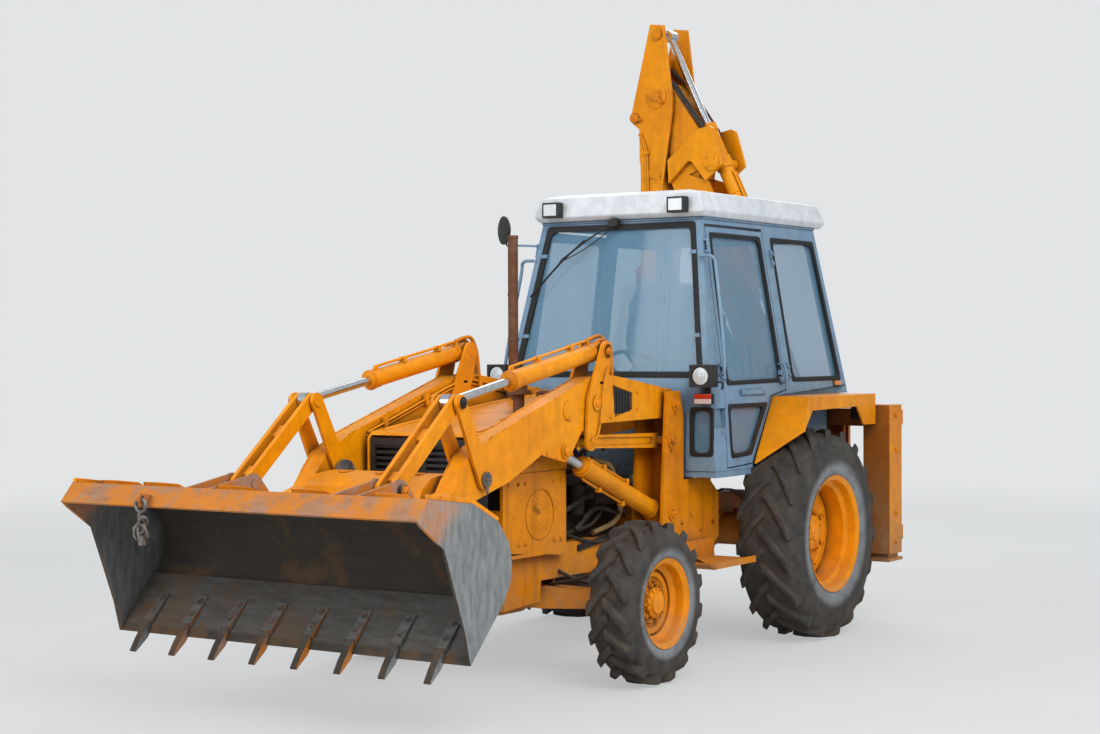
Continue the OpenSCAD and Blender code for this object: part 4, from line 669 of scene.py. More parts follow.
def cab_back(z):
    """The cab's back at a height."""
    return on_line([(1100, -900), (1570, -985), (2745, -782)], z)


def grown(outline, d):
    """A convex outline moved outwards by d."""
    area = sum(a[0] * b[1] - b[0] * a[1] for a, b in zip(outline, outline[1:] + outline[:1]))
    pts = [Vector(p) for p in (outline if area > 0 else outline[::-1])]
    out = []
    for i, p in enumerate(pts):
        a = (p - pts[i - 1]).normalized()
        b = (pts[(i + 1) % len(pts)] - p).normalized()
        na, nb = Vector((a.y, -a.x)), Vector((b.y, -b.x))
        out.append(p + (na + nb) * (d / (1 + na.dot(nb))))
    return out


def rounded(outline, r):
    """An outline with its corners cut round, from r before each to r past it."""
    out, steps = [], 5
    for i, p in enumerate(outline):
        a, b = (outline[i - 1] - p).normalized(), (outline[(i + 1) % len(outline)] - p).normalized()
        for k in range(steps + 1):
            t = k / steps
            out.append(p + a * r * (1 - t) ** 2 + b * r * t ** 2)
    return out


def seal(kit, outline, skin, outer=9, inner=20):
    """A rubber band round a window: over the cut's edge and in to the glass."""
    outside, inside = rounded(grown(outline, outer), 26), rounded(grown(outline, -inner), 46)
    return kit.rings([[skin(o, 0), skin(o, 5), skin(o.lerp(i, 0.35), 8), skin(i, 4), skin(i, -18), skin(o, -6)]
                      for o, i in zip(outside, inside)], closed=True)


DOOR_UPPER = [(762, 2640), (800, 1680), (25, 1690), (72, 2640)]
DOOR_LOWER = [(812, 1545), (832, 1220), (568, 1232), (290, 1545)]
REAR_SIDE = [(-92, 2640), (-135, 1690), (-885, 1690), (-735, 2640)]
FRONT_LOW = [(790, 1240), (790, 1530), (640, 1530), (640, 1240)]
WINDSCREEN = [(-700, 1735), (-548, 2705), (548, 2705), (700, 1735)]
REAR_WINDOW = [(-690, 1650), (-548, 2660), (548, 2660), (690, 1650)]


def side_skin(p, d):
    """A point d proud of the cab's left side, p its place along and up."""
    return at(p[0], p[1], cab_y(p[1]) + d)


def front_skin(p, d):
    return at(cab_x(p[1]) + d, p[1], p[0])


kit = Kit()
seal(kit, REAR_SIDE, side_skin)
seal(kit, FRONT_LOW, front_skin, 8, 14)
kit.mirrored()
seal(kit, WINDSCREEN, front_skin, 12, 26)
seal(kit, REAR_WINDOW, lambda p, d: at(cab_back(p[1]) - d, p[1], p[0]))
piece("cab_window_seals", kit, "chassis", SEAL, angle=50)
for word, s in SIDES:
    kit = Kit()
    for outline in (DOOR_UPPER, DOOR_LOWER):
        seal(kit, outline, lambda p, d: at(p[0], p[1], s * (cab_y(p[1]) + d)), 8, 18)
    piece(f"door_seals_{word}", kit, f"door_{word}", SEAL, angle=50)
    kit = Kit()
    # Long handle under the upper window, two catches and a pull bar
    kit.box(at(300, 1608, s * (cab_y(1620) + 2)), at(640, 1640, s * (cab_y(1620) + 16)))
    for x in (330, 610):
        kit.disc(at(x, 1624, s * (cab_y(1624) + 14)), (0, s, 0), 0.012, 0.008, 12)
    for z in (1745, 1700):
        kit.box(at(34, z - 16, s * (cab_y(z) - 1)), at(66, z + 16, s * (cab_y(z) + 18)))
    kit.tube([at(50, 1800, s * (cab_y(1800) + 2)), at(50, 1796, s * (cab_y(1796) + 46)),
              at(52, 1700, s * (cab_y(1700) + 52)), at(52, 1668, s * (cab_y(1668) + 4))], 0.008, 8)
    piece(f"door_handle_{word}", kit, f"door_{word}", CAB_BLUE, 0.002)

kit = Kit()
# Grab rails on the front posts
kit.tube([at(912, 2492, 628), at(908, 2482, 716), at(900, 2380, 742), at(956, 1830, 826), at(964, 1745, 800),
          at(972, 1730, 742)], 0.011, 10)
# Catches on the door post and clips beside the windscreen
for z in (2535, 2470, 1780, 1725):
    x = -55 - (2700 - z) * 0.02
    kit.box(at(x - 14, z - 26, cab_y(z) - 2), at(x + 14, z + 26, cab_y(z) + 12))
    kit.disc(at(x, z, cab_y(z) + 10), ASIDE, 0.011, 0.014, 12)
for z in (2520, 1990):
    kit.box(at(cab_x(z) - 4, z - 12, cab_y(z) - 92), at(cab_x(z) + 12, z + 12, cab_y(z) - 46))
# Rain gutter under the roof
kit.tube([at(836, 2738, 604), at(-784, 2738, 604)], 0.009, 8, False)
# Small box beside the indicator
kit.box(at(1040, 1560, 826), at(1098, 1650, 872))
kit.mirrored()
kit.tube([at(838, 2738, -604), at(838, 2738, 604)], 0.009, 8, False)
# Mirror arm
kit.tube([at(900, 2590, -612), at(930, 2595, -700), at(950, 2596, -818)], 0.008, 8)
piece("cab_rails_and_catches", kit, "chassis", CAB_BLUE, 0.002)

kit = Kit()
# Cable to each headlamp, plate behind each rear indicator
kit.tube([at(1064, 1700, 838), at(1050, 1690, 862), at(1040, 1640, 850), at(1046, 1600, 842)], 0.007, 8)
kit.box(at(-868, 1640, cab_y(1660) - 2), at(-760, 1682, cab_y(1660) + 6))
kit.mirrored()
# Wiper: motor cap, arm and blade in front of the windscreen
kit.box(at(862, 2700, -60), at(900, 2742, 10))
kit.tube([at(888, 2712, -30), at(905, 2640, -170), at(938, 2486, -400)], 0.006, 8)
kit.tube([at(884, 2700, -15), at(915, 2560, -225), at(940, 2470, -415)], 0.004, 6)
for lift, r in ((0, 0.006), (10, 0.004)):
    kit.tube([at(898 + lift, 2619, -233), at(930 + lift, 2470, -405), at(972 + lift, 2250, -613)], r, 6)
# Round mirror on the right
kit.lathe(at(950, 2700, -842), Vector((0.75, -0.5, 0.0)),
          [(-0.03, 0.02), (-0.022, 0.07), (-0.008, 0.094), (0.006, 0.096), (0.010, 0.088)], 28)
kit.tube([at(950, 2592, -815), at(944, 2640, -838), at(946, 2690, -842)], 0.007, 8)
piece("cab_black_trim", kit, "chassis", BLACK, 0.0015)

lamps = {"clear": Kit(), "amber": Kit(), "red": Kit(), "white": Kit()}
# Headlamp, front indicator, work lamps, rear indicator and tail lamps
lamps["clear"].lathe(at(1150, 1735, 763), AHEAD,
                     [(-0.02, 0.054), (0.004, 0.056), (0.010, 0.046), (0.014, 0.026), (0.016, 0.001)], 32)
lamps["red"].box(at(1121, 1594, 704), at(1131, 1624, 822))
lamps["white"].box(at(1121, 1562, 704), at(1131, 1593, 822))
for x, way in ((950.5, 1), (-960.5, -1)):
    lamps["clear"].box(at(x, 2782 if way > 0 else 2787, 424), at(x + way * 6, 2858, 522))
lamps["amber"].box(at(-862, 1646, cab_y(1660) + 6), at(-766, 1676, cab_y(1660) + 24))
lamps["red"].box(at(-799, 1424, 906), at(-811, 1464, 1014))
lamps["amber"].box(at(-799, 1468, 906), at(-811, 1506, 1014))
for kit in lamps.values():
    kit.mirrored()
for word, material in (("clear", CLEAR_LENS), ("amber", AMBER_LENS), ("red", RED_LENS), ("white", WHITE_LENS)):
    piece(f"lamp_lenses_{word}", lamps[word], "chassis", material, bevel=0.004)


# Seat

VOXEL = 0.011
MOST_FILL = 0.012     # how far the cloth may blow a pad out
CHANNEL_WIDTH, CHANNEL_DEPTH = 0.008, 0.010


def cushion(name, low, high, lean, channels):
    """A crowned pad: rounded, blown up by a short cloth run, then its sewn channels pressed in."""
    low, high = Vector(low), Vector(high)
    middle, size = (low + high) / 2, high - low
    work = bmesh.new()
    bmesh.ops.create_cube(work, size=1.0)
    for v in work.verts:
        v.co = Vector((v.co.x * size.x, v.co.y * size.y, v.co.z * size.z)) * 0.9
    bmesh.ops.bevel(work, geom=work.edges[:], offset=min(size) * 0.24, segments=3, affect="EDGES", profile=0.6)
    mesh = bpy.data.meshes.new(name)
    work.to_mesh(mesh)
    work.free()
    made = bpy.data.objects.new(name, mesh)
    bpy.context.scene.collection.objects.link(made)
    bpy.context.view_layer.objects.active = made
    remesh = made.modifiers.new("voxels", "REMESH")
    remesh.mode, remesh.voxel_size = "VOXEL", VOXEL
    apply_modifiers(made)
    rest = [v.co.copy() for v in made.data.vertices]
    cloth = made.modifiers.new("fill", "CLOTH").settings
    cloth.use_pressure, cloth.uniform_pressure_force = True, 4.0
    cloth.effector_weights.gravity = 0.0
    for step in range(1, 21):
        bpy.context.scene.frame_set(step)
    apply_modifiers(made)
    bpy.context.scene.frame_set(1)
    for v, was in zip(made.data.vertices, rest):
        move = v.co - was
        if move.length > MOST_FILL:
            v.co = was + move.normalized() * MOST_FILL
        press = max((math.exp(-((v.co.y - c * size.y) / CHANNEL_WIDTH) ** 2) for c in channels), default=0.0)
        v.co -= v.co.normalized() * CHANNEL_DEPTH * press
    smooth = made.modifiers.new("smooth", "SUBSURF")
    smooth.levels = smooth.render_levels = 1
    made.data.materials.append(VINYL)
    made.data.shade_smooth()
    made.data.transform(Matrix.Translation(middle) @ Matrix.Rotation(lean, 4, "Y"))
    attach(made, "chassis")
    return made


def apply_modifiers(made):
    """Puts the mesh as its modifiers leave it in place of the mesh below them."""
    depsgraph = bpy.context.evaluated_depsgraph_get()
    mesh = bpy.data.meshes.new_from_object(made.evaluated_get(depsgraph))
    made.modifiers.clear()
    made.data = mesh


CHANNELS = (-0.22, 0.0, 0.22)
seat_pad = cushion("seat_cushion", at(-220, 1375, -232), at(250, 1480, 232), 0.0, CHANNELS)
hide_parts("seat")
cushion("seat_back", at(-340, 1500, -222), at(-250, 2020, 222), -0.16, CHANNELS)
cushion("seat_headrest", at(-416, 2034, -130), at(-346, 2150, 130), -0.12, ())
kit = Kit()
# Headrest posts and armrests
kit.tube([at(-350, 1990, 60), at(-372, 2060, 60)], 0.007, 8)
kit.tube([at(-292, 1690, 232), at(-280, 1712, 262), at(-200, 1722, 272), at(130, 1722, 272)], 0.016, 10)
kit.box(at(-150, 1704, 246), at(150, 1742, 298))
kit.mirrored()
# Base, bellows, pan and back
kit.box(at(-120, 1140, -150), at(200, 1180, 150))
for i in range(5):
    kit.box(at(-110 + i * 4, 1186 + i * 32, -140 + i * 3), at(190 - i * 4, 1208 + i * 32, 140 - i * 3))
kit.box(at(-226, 1345, -225), at(244, 1378, 225))
kit.slab([(-236, 1352), (-214, 1352), (-250, 1520), (-300, 1900), (-330, 1900), (-300, 1480)], -70, 70)
piece("seat_base_parts", kit, "chassis", BLACK, 0.006)


# Bonnet, exhaust and engine bay

FILLER = (1980, 150)     # along and across
EXHAUST = (1586, -338)


def bonnet_z(x):
    """The bonnet's top."""
    return on_line([(1300, 1610), (1700, 1585), (2500, 1500), (2960, 1440)], x)


kit = Kit()
# Rolled ribs along the top, hinges at the back and bolts down the sides
kit.tube([at(x, bonnet_z(x) + 1, 330) for x in (1360, 1700, 2100, 2500, 2920)], 0.009, 8)
kit.box(at(1306, 1596, 180), at(1366, 1624, 240))
for x in (1500, 1900, 2240, 2600, 2900):
    kit.nut(at(x, bonnet_z(x) - 60, 390), ASIDE, 0.010, 0.008)
kit.mirrored()
# Filler neck, lifting loop and latch
kit.lathe(at(FILLER[0], bonnet_z(FILLER[0]) - 2, FILLER[1]), UP,
          [(0, 0.040), (0.02, 0.040), (0.021, 0.032), (0.07, 0.032)], 24)
kit.tube([at(2880, bonnet_z(2880), -60), at(2872, bonnet_z(2880) + 34, -50), at(2872, bonnet_z(2880) + 34, 50),
          at(2880, bonnet_z(2880), 60)], 0.008, 8)
kit.box(at(2905, 1420, -40), at(2945, 1462, 40))
piece("bonnet_trim", kit, "chassis", ORANGE, 0.002)

kit = Kit()
# Filler cap, then bands, clamp ears and flange bolts of the stack
kit.lathe(at(FILLER[0], bonnet_z(FILLER[0]) + 68, FILLER[1]), UP,
          [(0, 0.044), (0.010, 0.048), (0.026, 0.046), (0.034, 0.030), (0.036, 0.001)], 24)
x, y = EXHAUST
for z, r, h in ((1700, 0.037, 0.018), (1960, 0.035, 0.018), (2240, 0.035, 0.018), (2600, 0.0345, 0.020)):
    kit.lathe(at(x, z, y), UP, [(0, r), (h, r)], 24)
for z in (1700, 1960, 2240):
    kit.box(at(x - 60, z + 4, y - 8), at(x - 30, z + 14, y + 8))
for spot in circle(x, y, 58, 8):
    kit.nut(at(spot[0], bonnet_z(x) - 1, spot[1]), UP, 0.008, 0.008)
piece("exhaust_bands", kit, "chassis", RUSTY, 0.001)

kit = Kit()
# Injectors, filters, manifold and brackets on both sides of the block
for i in range(4):
    x = 1560 + i * 190
    kit.lathe(at(x, 1230, 90), UP, [(0, 0.030), (0.05, 0.030), (0.052, 0.016), (0.10, 0.014)], 16)
    kit.tube([at(x, 1300, 90), at(x + 20, 1330, 140), at(x + 60, 1250, 215), at(1900, 1100, 222)], 0.006, 6)
    kit.tube([at(x, 1150, 185), at(x, 1150, 230), at(x + 30, 1120, 262)], 0.026, 10)
kit.tube([at(1540, 1118, 262), at(2190, 1118, 262)], 0.036, 12, False)
for x, z, r, h in ((1640, 900, 0.052, 190), (1780, 900, 0.052, 190), (2010, 860, 0.066, 240)):
    kit.lathe(at(x, z, 250), UP, [(0, r * 0.8), (0.01, r), (h / 1000 - 0.02, r), (h / 1000, r * 0.6)], 20)
    kit.box(at(x - 40, z + h - 12, 190), at(x + 40, z + h + 22, 270))
kit.box(at(1500, 760, 190), at(2330, 800, 214))
for i in range(9):
    kit.nut(at(1530 + i * 98, 780, 214), ASIDE, 0.010, 0.010)
kit.mirrored()
# Pulleys and their belt
pulleys, belt = 2352, 2382     # along
kit.lathe(at(pulleys, 1130, 0), AHEAD, [(0, 0.08), (0.02, 0.08), (0.03, 0.068), (0.04, 0.08), (0.06, 0.08)], 28)
kit.lathe(at(pulleys, 960, 190), AHEAD, [(0, 0.05), (0.02, 0.05), (0.03, 0.042), (0.04, 0.05), (0.06, 0.05)], 24)
kit.tube([at(belt, z, y) for z, y in ((1202, 20), (1190, -60), (960, -94), (866, -20), (870, 60), (925, 238),
                                      (1000, 226), (1180, 70))], 0.010, 6, closed=True)
piece("engine_fittings", kit, "chassis", CAST, 0.003)

kit, pale = Kit(), Kit()
for k, (a, b, c, d) in enumerate((
        ((1320, 1180), (1500, 1090), (1660, 860), (1980, 800)),
        ((1330, 1120), (1560, 1010), (1800, 1010), (2090, 900)),
        ((1400, 820), (1600, 740), (1850, 760), (2100, 840)),
        ((1500, 1290), (1600, 1330), (1780, 1290), (1940, 1180)),
        ((1260, 1000), (1400, 930), (1560, 720), (1760, 700)),
        ((1290, 880), (1480, 900), (1700, 940), (1880, 820)))):
    y = 300 + 14 * (k % 3)
    kit.tube([at(*a, y - 30), at(*b, y + 22), at(*c, y + 10), at(*d, y - 20)], 0.011 + 0.004 * (k % 2), 8)
for a, b, c in (((1330, 1030), (1480, 860), (1700, 790)), ((1420, 980), (1540, 1180), (1720, 1240))):
    pale.tube([at(*a, 320), at(*b, 352), at(*c, 318)], 0.016, 10)
kit.mirrored()
pale.mirrored()
piece("engine_hoses", kit, "chassis", HOSE)
piece("engine_pale_hoses", pale, "chassis", PALE_HOSE)


# Chassis trim

# The loader's pins, along and up
PIN = {"a": (1184, 1563), "b": (1236, 1337), "c": (1230, 889), "d": (2070, 1590), "e": (2372, 1322), "f": (3700, 900),
       "g": (3198, 1208), "h": (2122, 1364), "i": (1945, 1893), "j": (3417, 1626), "k": (3940, 1195)}

kit = Kit()
for x, z in ((1010, 690), (1230, 760), (860, 760), (1100, 820), (700, 800), (1150, 640), (980, 860)):
    kit.nut(at(x, z, 600), ASIDE, 0.011, 0.009)
for x in (2180, 2250, 2550, 2620, 2720):
    kit.nut(at(x, 1140, 395), ASIDE, 0.010, 0.006)
    kit.nut(at(x, 800, 395), ASIDE, 0.012, 0.010)
kit.lathe(at(2400, 954, 388), ASIDE, [(0, 0.120), (0.004, 0.120), (0.006, 0.112)], 40)
# Keeper plates and grease nipples at the tower pins
for x, z in (PIN[name] for name in "abc"):
    kit.lathe(at(x, z, 614), ASIDE, [(0, 0.026), (0.006, 0.026), (0.008, 0.008), (0.018, 0.006), (0.020, 0.001)], 20)
    kit.box(at(x - 12, z - 66, 600), at(x + 12, z - 30, 608))
    kit.nut(at(x, z - 54, 608), ASIDE, 0.009, 0.007)
# Raised grip pattern on the step
for i in range(13):
    for j in range(6):
        x, y = 800 + i * 38, 650 + j * 42
        long = 13 if (i + j) % 2 else 5
        kit.box(at(x - long, 576, y - (18 - long)), at(x + long, 583, y + (18 - long)))
kit.box(at(742, 560, 922), at(1290, 600, 932))
piece("chassis_bolts_and_grip", kit.mirrored(), "chassis", ORANGE_WORN, 0.0012)

kit = Kit()
# Brake and fuel lines along the rails, and the axle's breather line
for k in range(3):
    kit.tube([at(-500, 772 + k * 16, 336), at(100, 960, 348 + k * 12), at(620, 780 + k * 14, 345),
              at(1180, 782 + k * 14, 345), at(1900, 700 + k * 14, 338)], 0.006, 6)
kit.tube([at(2171, 520, 300), at(2200, 560, 480), at(2160, 600, 640), at(2130, 570, 690)], 0.010, 8)
kit.tube([at(2110, 640, 240), at(2090, 560, 420), at(2080, 530, 560)], 0.012, 8)
kit.mirrored()
# Steering ram across the axle
kit.tube([at(2060, 470, -420), at(2060, 470, 420)], 0.034, 14, False)
piece("chassis_lines", kit, "chassis", HOSE)


# Loader trim

TILT, LIFT = (PIN["i"], PIN["j"]), (PIN["c"], PIN["e"])


def along(a, b, d, off=0):
    """A point d from a towards b, moved off to the left of that line, in millimetres."""
    a, b = Vector(a), Vector(b)
    way = (b - a).normalized()
    return a + way * d + Vector((-way.y, way.x)) * off


def pin_head(kit, place, y, r=0.030, keeper=None):
    """A pin's left end: washer, head and grease nipple, with a bolted keeper if asked."""
    x, z = place
    kit.lathe(at(x, z, y), ASIDE, [(0, r), (0.004, r), (0.005, r * 0.72), (0.012, r * 0.68), (0.013, 0.008),
                                   (0.020, 0.006), (0.021, 0.001)], 24)
    if keeper:
        end = (x + keeper[0], z + keeper[1])
        kit.tube([at(x, z, y + 3), at(*end, y + 3)], 0.007, 6, False)
        kit.nut(at(*end, y), ASIDE, 0.009, 0.008)


kit = Kit()
# Round plate on the arm, seams along its cover, pin head and bolts
kit.lathe(at(2330, 1550, 552), ASIDE, [(0, 0.058), (0.004, 0.058), (0.005, 0.050), (0.007, 0.050)], 32)
for y in (436, 544):
    kit.tube([at(1300, 1671, y), at(1880, 1751, y), at(2090, 1740, y), at(3090, 1433, y),
              at(3300, 1337, y), at(3398, 1229, y)], 0.005, 6, False)
pin_head(kit, PIN["e"], 566)
for x, z in ((2230, 1330), (2300, 1300), (2460, 1290), (2560, 1320), (1560, 1640), (1560, 1540), (1870, 1500)):
    kit.nut(at(x, z, 550), ASIDE, 0.009, 0.007)
# Steel pipes clipped along the inner face of the arm
for k in range(2):
    y = 421 - 8 * k
    kit.tube([at(1330, 1600 + k * 26, y), at(1900, 1690 + k * 26, y), at(2090, 1680 + k * 24, y),
              at(2960, 1412 + k * 22, y)], 0.007, 8)
for x in (1500, 1850, 2400, 2800):
    z = 1640 + (x - 1500) * 0.155 if x < 1900 else 1690 - (x - 2090) * 0.308
    kit.box(at(x - 16, z - 18, 430), at(x + 16, z + 48, 400))
kit.mirrored()
# Hose clamps on the torque box
for y in (-250, 0, 250):
    kit.box(at(3310, 1232, y - 22), at(3400, 1240, y + 22))
piece("loader_arm_trim", kit, "loader_arms", ORANGE, 0.001)

kit = Kit()
# Louvred black insert in each arm
kit.slab([(1838, 1686), (1624, 1637), (1625, 1546), (1814, 1508)], 538.5, 541)
for i in range(6):
    x = 1640 + i * 34
    kit.slab([(x - 4, 1526), (x + 16, 1526), (x + 16, 1652), (x - 4, 1648)], 541, 549)
    kit.slab([(x + 8, 1526), (x + 20, 1526), (x + 20, 1652), (x + 8, 1650)], 545, 551)
piece("arm_louvres", kit.mirrored(), "loader_arms", BLACK, 0.001)

kit = Kit()
for name in "ih":
    pin_head(kit, PIN[name], 582)
pin_head(kit, PIN["d"], 582, 0.034)
piece("levelling_pin_heads", kit.mirrored(), "levelling_levers", ORANGE_WORN, 0.001)
kit = Kit()
for name, y in (("i", 578), ("d", 582)):
    x, z = PIN[name]
    kit.lathe(at(x, z, y - 3), ASIDE, [(0, 0.044), (0.007, 0.044)], 24)
kit.box(at(1990, 1700, 404), at(2030, 1716, 576))
kit.tube([at(1960, 1800, 590), at(2010, 1680, 590), at(2056, 1440, 588), at(2100, 1380, 584)], 0.006, 6)
piece("levelling_lever_trim", kit.mirrored(), "levelling_levers", ORANGE, 0.001)

kit = Kit()
# Feed pipe along the top of the tilt ram's barrel
spots = [(880, 50), (872, 68), (820, 72), (400, 72), (120, 74), (40, 70)]
kit.tube([at(*along(*TILT, d, off), 476) for d, off in spots], 0.009, 8)
for d in (250, 600):
    p = along(*TILT, d, 50)
    kit.box(at(p.x - 14, p.y - 4, 456), at(p.x + 14, p.y + 30, 496))
for d in (862, 60):
    kit.tube([at(*along(*TILT, d, off), 476) for off in (40, 76)], 0.016, 8, False)
piece("tilt_ram_pipes", kit.mirrored(), "tilt_barrels", ORANGE)

kit = Kit()
for side in (1, -1):
    spots = [(900, 52), (886, 64), (820, 67), (430, 67), (404, 56)]
    kit.tube([at(*along(*LIFT, d, side * off), RAM_Y) for d, off in spots], 0.009, 8)
for d in (420, 700):
    for off in (-70, 70):
        p = along(*LIFT, d, off)
        kit.box(at(p.x - 15, p.y - 15, 474), at(p.x + 15, p.y + 15, 506))
piece("lift_ram_pipes", kit.mirrored(), "lift_barrels", ORANGE, 0.002)

for word, ram, collars in (("tilt", TILT, ((905, 0.060), (918, 0.050))),
                           ("lift", LIFT, ((925, 0.063), (938, 0.052)))):
    kit = Kit()
    for d, r in collars:
        kit.lathe(at(*along(*ram, d), RAM_Y), at(*ram[1]) - at(*ram[0]), [(0, r), (0.010, r), (0.012, r - 0.004)], 28)
    piece(f"{word}_ram_glands", kit.mirrored(), f"{word}_barrels", ORANGE_WORN)
for name, pin, body, material, y, r, keeper in (
        ("swing_lever_pin_heads", "j", "swing_levers", CAST, 586, 0.032, None),
        ("swing_pin_heads", "g", "swing_pins", BARE, 590, 0.036, (10, -64)),
        ("bucket_pin_heads", "f", "bucket_pins", BARE, 590, 0.036, (14, -60))):
    kit = Kit()
    pin_head(kit, PIN[pin], y, r, keeper)
    piece(name, kit.mirrored(), body, material)

# Hoses that loop from the end of each tilt ram down to the arm
for word, s in SIDES:
    kit = Kit()
    for k, (y, rise) in enumerate(((476, 74), (506, 40))):
        start = along(*TILT, 60, rise)
        kit.tube([at(*start, s * y), at(1925, 1978 - k * 22, s * y), at(1850, 1975 - k * 24, s * y),
                  at(1796, 1900 - k * 16, s * y), at(1780, 1800, s * (y - 4)), at(1772, 1728, s * (y - 6))],
                 0.012, 10)
    hose = piece(f"tilt_hose_loops_{word}", kit, "loader_arms", ORANGE_WORN)
    hose.parent = None
    hose.matrix_world = Matrix.Identity(4)
    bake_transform(hose)

# Bucket: tooth sockets along the edge, then the ribs behind the lip
kit = Kit()
EDGE = Vector((3901, 657)), Vector((4177, 390))
edge_way = (EDGE[1] - EDGE[0]).normalized()
edge_up = Vector((-edge_way.y, edge_way.x))
for i in range(8):
    y = -978 + i * 1956 / 7
    spots = [(-260, 20), (-250, 34), (-60, 40), (-50, 20)]
    kit.slab([tuple(EDGE[1] + edge_way * d + edge_up * h) for d, h in spots], y - 30, y + 30)
    for d in (-215, -120):
        p = EDGE[1] + edge_way * d + edge_up * 38
        kit.nut(at(p.x, p.y, y), (edge_up.x, 0, edge_up.y), 0.013, 0.008)
piece("bucket_tooth_sockets", kit, "loader_bucket", LOADER_BUCKET, 0.002)

kit = Kit()
for y in (1060, 760, 250):
    kit.slab([(4395, 1196), (4300, 1183), (4153, 1167), (3939, 1067), (3852, 960), (3822, 870), (3800, 872),
              (3830, 975), (3925, 1090), (4146, 1196), (4300, 1214), (4400, 1222)], y - 7, y + 7)
kit.slab([(4511, 1214), (4153, 1167), (3939, 1067), (3930, 1086), (4148, 1190), (4508, 1236)], 1168, 1148)
pin_head(kit, PIN["k"], 600, 0.032)
piece("bucket_back_ribs", kit.mirrored(), "loader_bucket", ORANGE_WORN, 0.002)

# Chain links that hang in a bunch on the lip's lug, and their shackle
kit = Kit()
for x, y, z, a, tilt in (
        (0, 0, -108, 0.3, 0.1), (4, 6, -146, 1.7, -0.2), (-2, -4, -184, 0.2, 0.2), (6, 24, -120, 2.4, 0.7),
        (-8, -26, -132, 0.9, -0.8), (2, 30, -166, 1.2, 0.4), (0, -20, -176, 2.6, 0.1)):
    turn = Matrix.Rotation(a, 3, "Z") @ Matrix.Rotation(tilt, 3, "X")
    wide, long = turn @ Vector((0.021, 0, 0)), turn @ Vector((0, 0, 0.034))
    kit.tube(ring(at(4625 + x, 1160 + z, -560 + y), wide, long, 1, 12), 0.0075, 8, closed=True)
kit.box(at(4612, 918, -566), at(4640, 972, -538))
piece("lip_shackle_chain", kit, "loader_bucket", BARE, 0.002)


# Backhoe trim

# The backhoe's pins, out from the slew axis and up
HOE = {"foot": (270, 750), "ram_base": (160, 1190), "ram_eye": (610, 2300), "tip": (1414, 3842),
       "trunnion": (906, 3306), "tail": (1396, 4314), "bucket_ram": (1612, 3688), "rocker": (1490, 2700),
       "rocker_tip": (1620, 2500), "hinge": (1500, 2400), "link": (1610, 2210)}
ACROSS = (hoe(0, 0, 1) - hoe(0, 0, 0)).normalized()


def strap(a, b, half):
    """Corners of a flat bar from a to b, half its width to each side."""
    long = (Vector(b) - Vector(a)).length
    return [tuple(along(a, b, d, off)) for d, off in ((0, half), (long, half), (long, -half), (0, -half))]


def hoe_pins(name, body, material, *pins):
    """Both ends of backhoe pins: washer, head and nipple, with a bolted keeper bar where one is given."""
    kit = Kit()
    for pin, y, r, *keeper in pins:
        x, z = HOE[pin]
        for s in (1, -1):
            kit.lathe(hoe(x, z, s * y), ACROSS * s,
                      [(0, r + 0.012), (0.004, r + 0.012), (0.005, r), (0.011, r * 0.94), (0.012, 0.008),
                       (0.018, 0.006), (0.019, 0.001)], 24)
            if keeper:
                end = (x + keeper[0], z + keeper[1])
                kit.hoe_slab(strap((x, z), end, 12), s * (y + 3), s * (y + 9))
                kit.nut(hoe(*end, s * (y + 2)), ACROSS * s, 0.010, 0.012)
    piece(name, kit, body, material, 0.001)


def hoe_band(kit, a, b, d, r):
    """A clamp band round a ram's barrel."""
    centre = hoe(*along(HOE[a], HOE[b], d))
    way = (hoe(*HOE[b]) - hoe(*HOE[a])).normalized()
    kit.tube(ring(centre, ACROSS, way.cross(ACROSS), r, 20), 0.006, 6, closed=True)


hoe_pins("dipper_pin_heads", "dipper", ORANGE_WORN, ("tip", 184, 0.034, -64, -52), ("tail", 186, 0.030),
         ("bucket_ram", 184, 0.028, -58, -22))
kit = Kit()
for s in (1, -1):
    kit.lathe(hoe(*HOE["tip"], s * 170), ACROSS * s, [(0, 0.094), (0.005, 0.094), (0.007, 0.088)], 36)
    # Stiffener welded on the dipper's waist, seam along its back and bolts
    kit.hoe_slab(strap((1372, 3230), (1545, 3260), 34), s * 170, s * 174)
    kit.tube([hoe(1352, 4372, s * 163), hoe(1274, 3811, s * 163), hoe(1278, 3722, s * 163), hoe(1369, 3128, s * 163)],
             0.011, 6, False)
    for z in (3000, 2780, 2580):
        kit.nut(hoe(1470, z, s * 170), ACROSS * s, 0.009, 0.005)
# Steel pipes clipped on the dipper's left face, down to the bucket's ram
for k in range(2):
    kit.tube([hoe(1570 - 14 * k, 3560, 180), hoe(1512 - 16 * k, 3420, 180), hoe(1500 - 16 * k, 3100, 180),
              hoe(1506 - 16 * k, 2920, 180), hoe(1540 - 10 * k, 2880, 172)], 0.007, 8)
for z in (3400, 3040):
    kit.hoe_slab([(1474, z), (1524, z), (1524, z + 26), (1474, z + 26)], 170, 190)
piece("dipper_trim", kit, "dipper", ORANGE, 0.001)

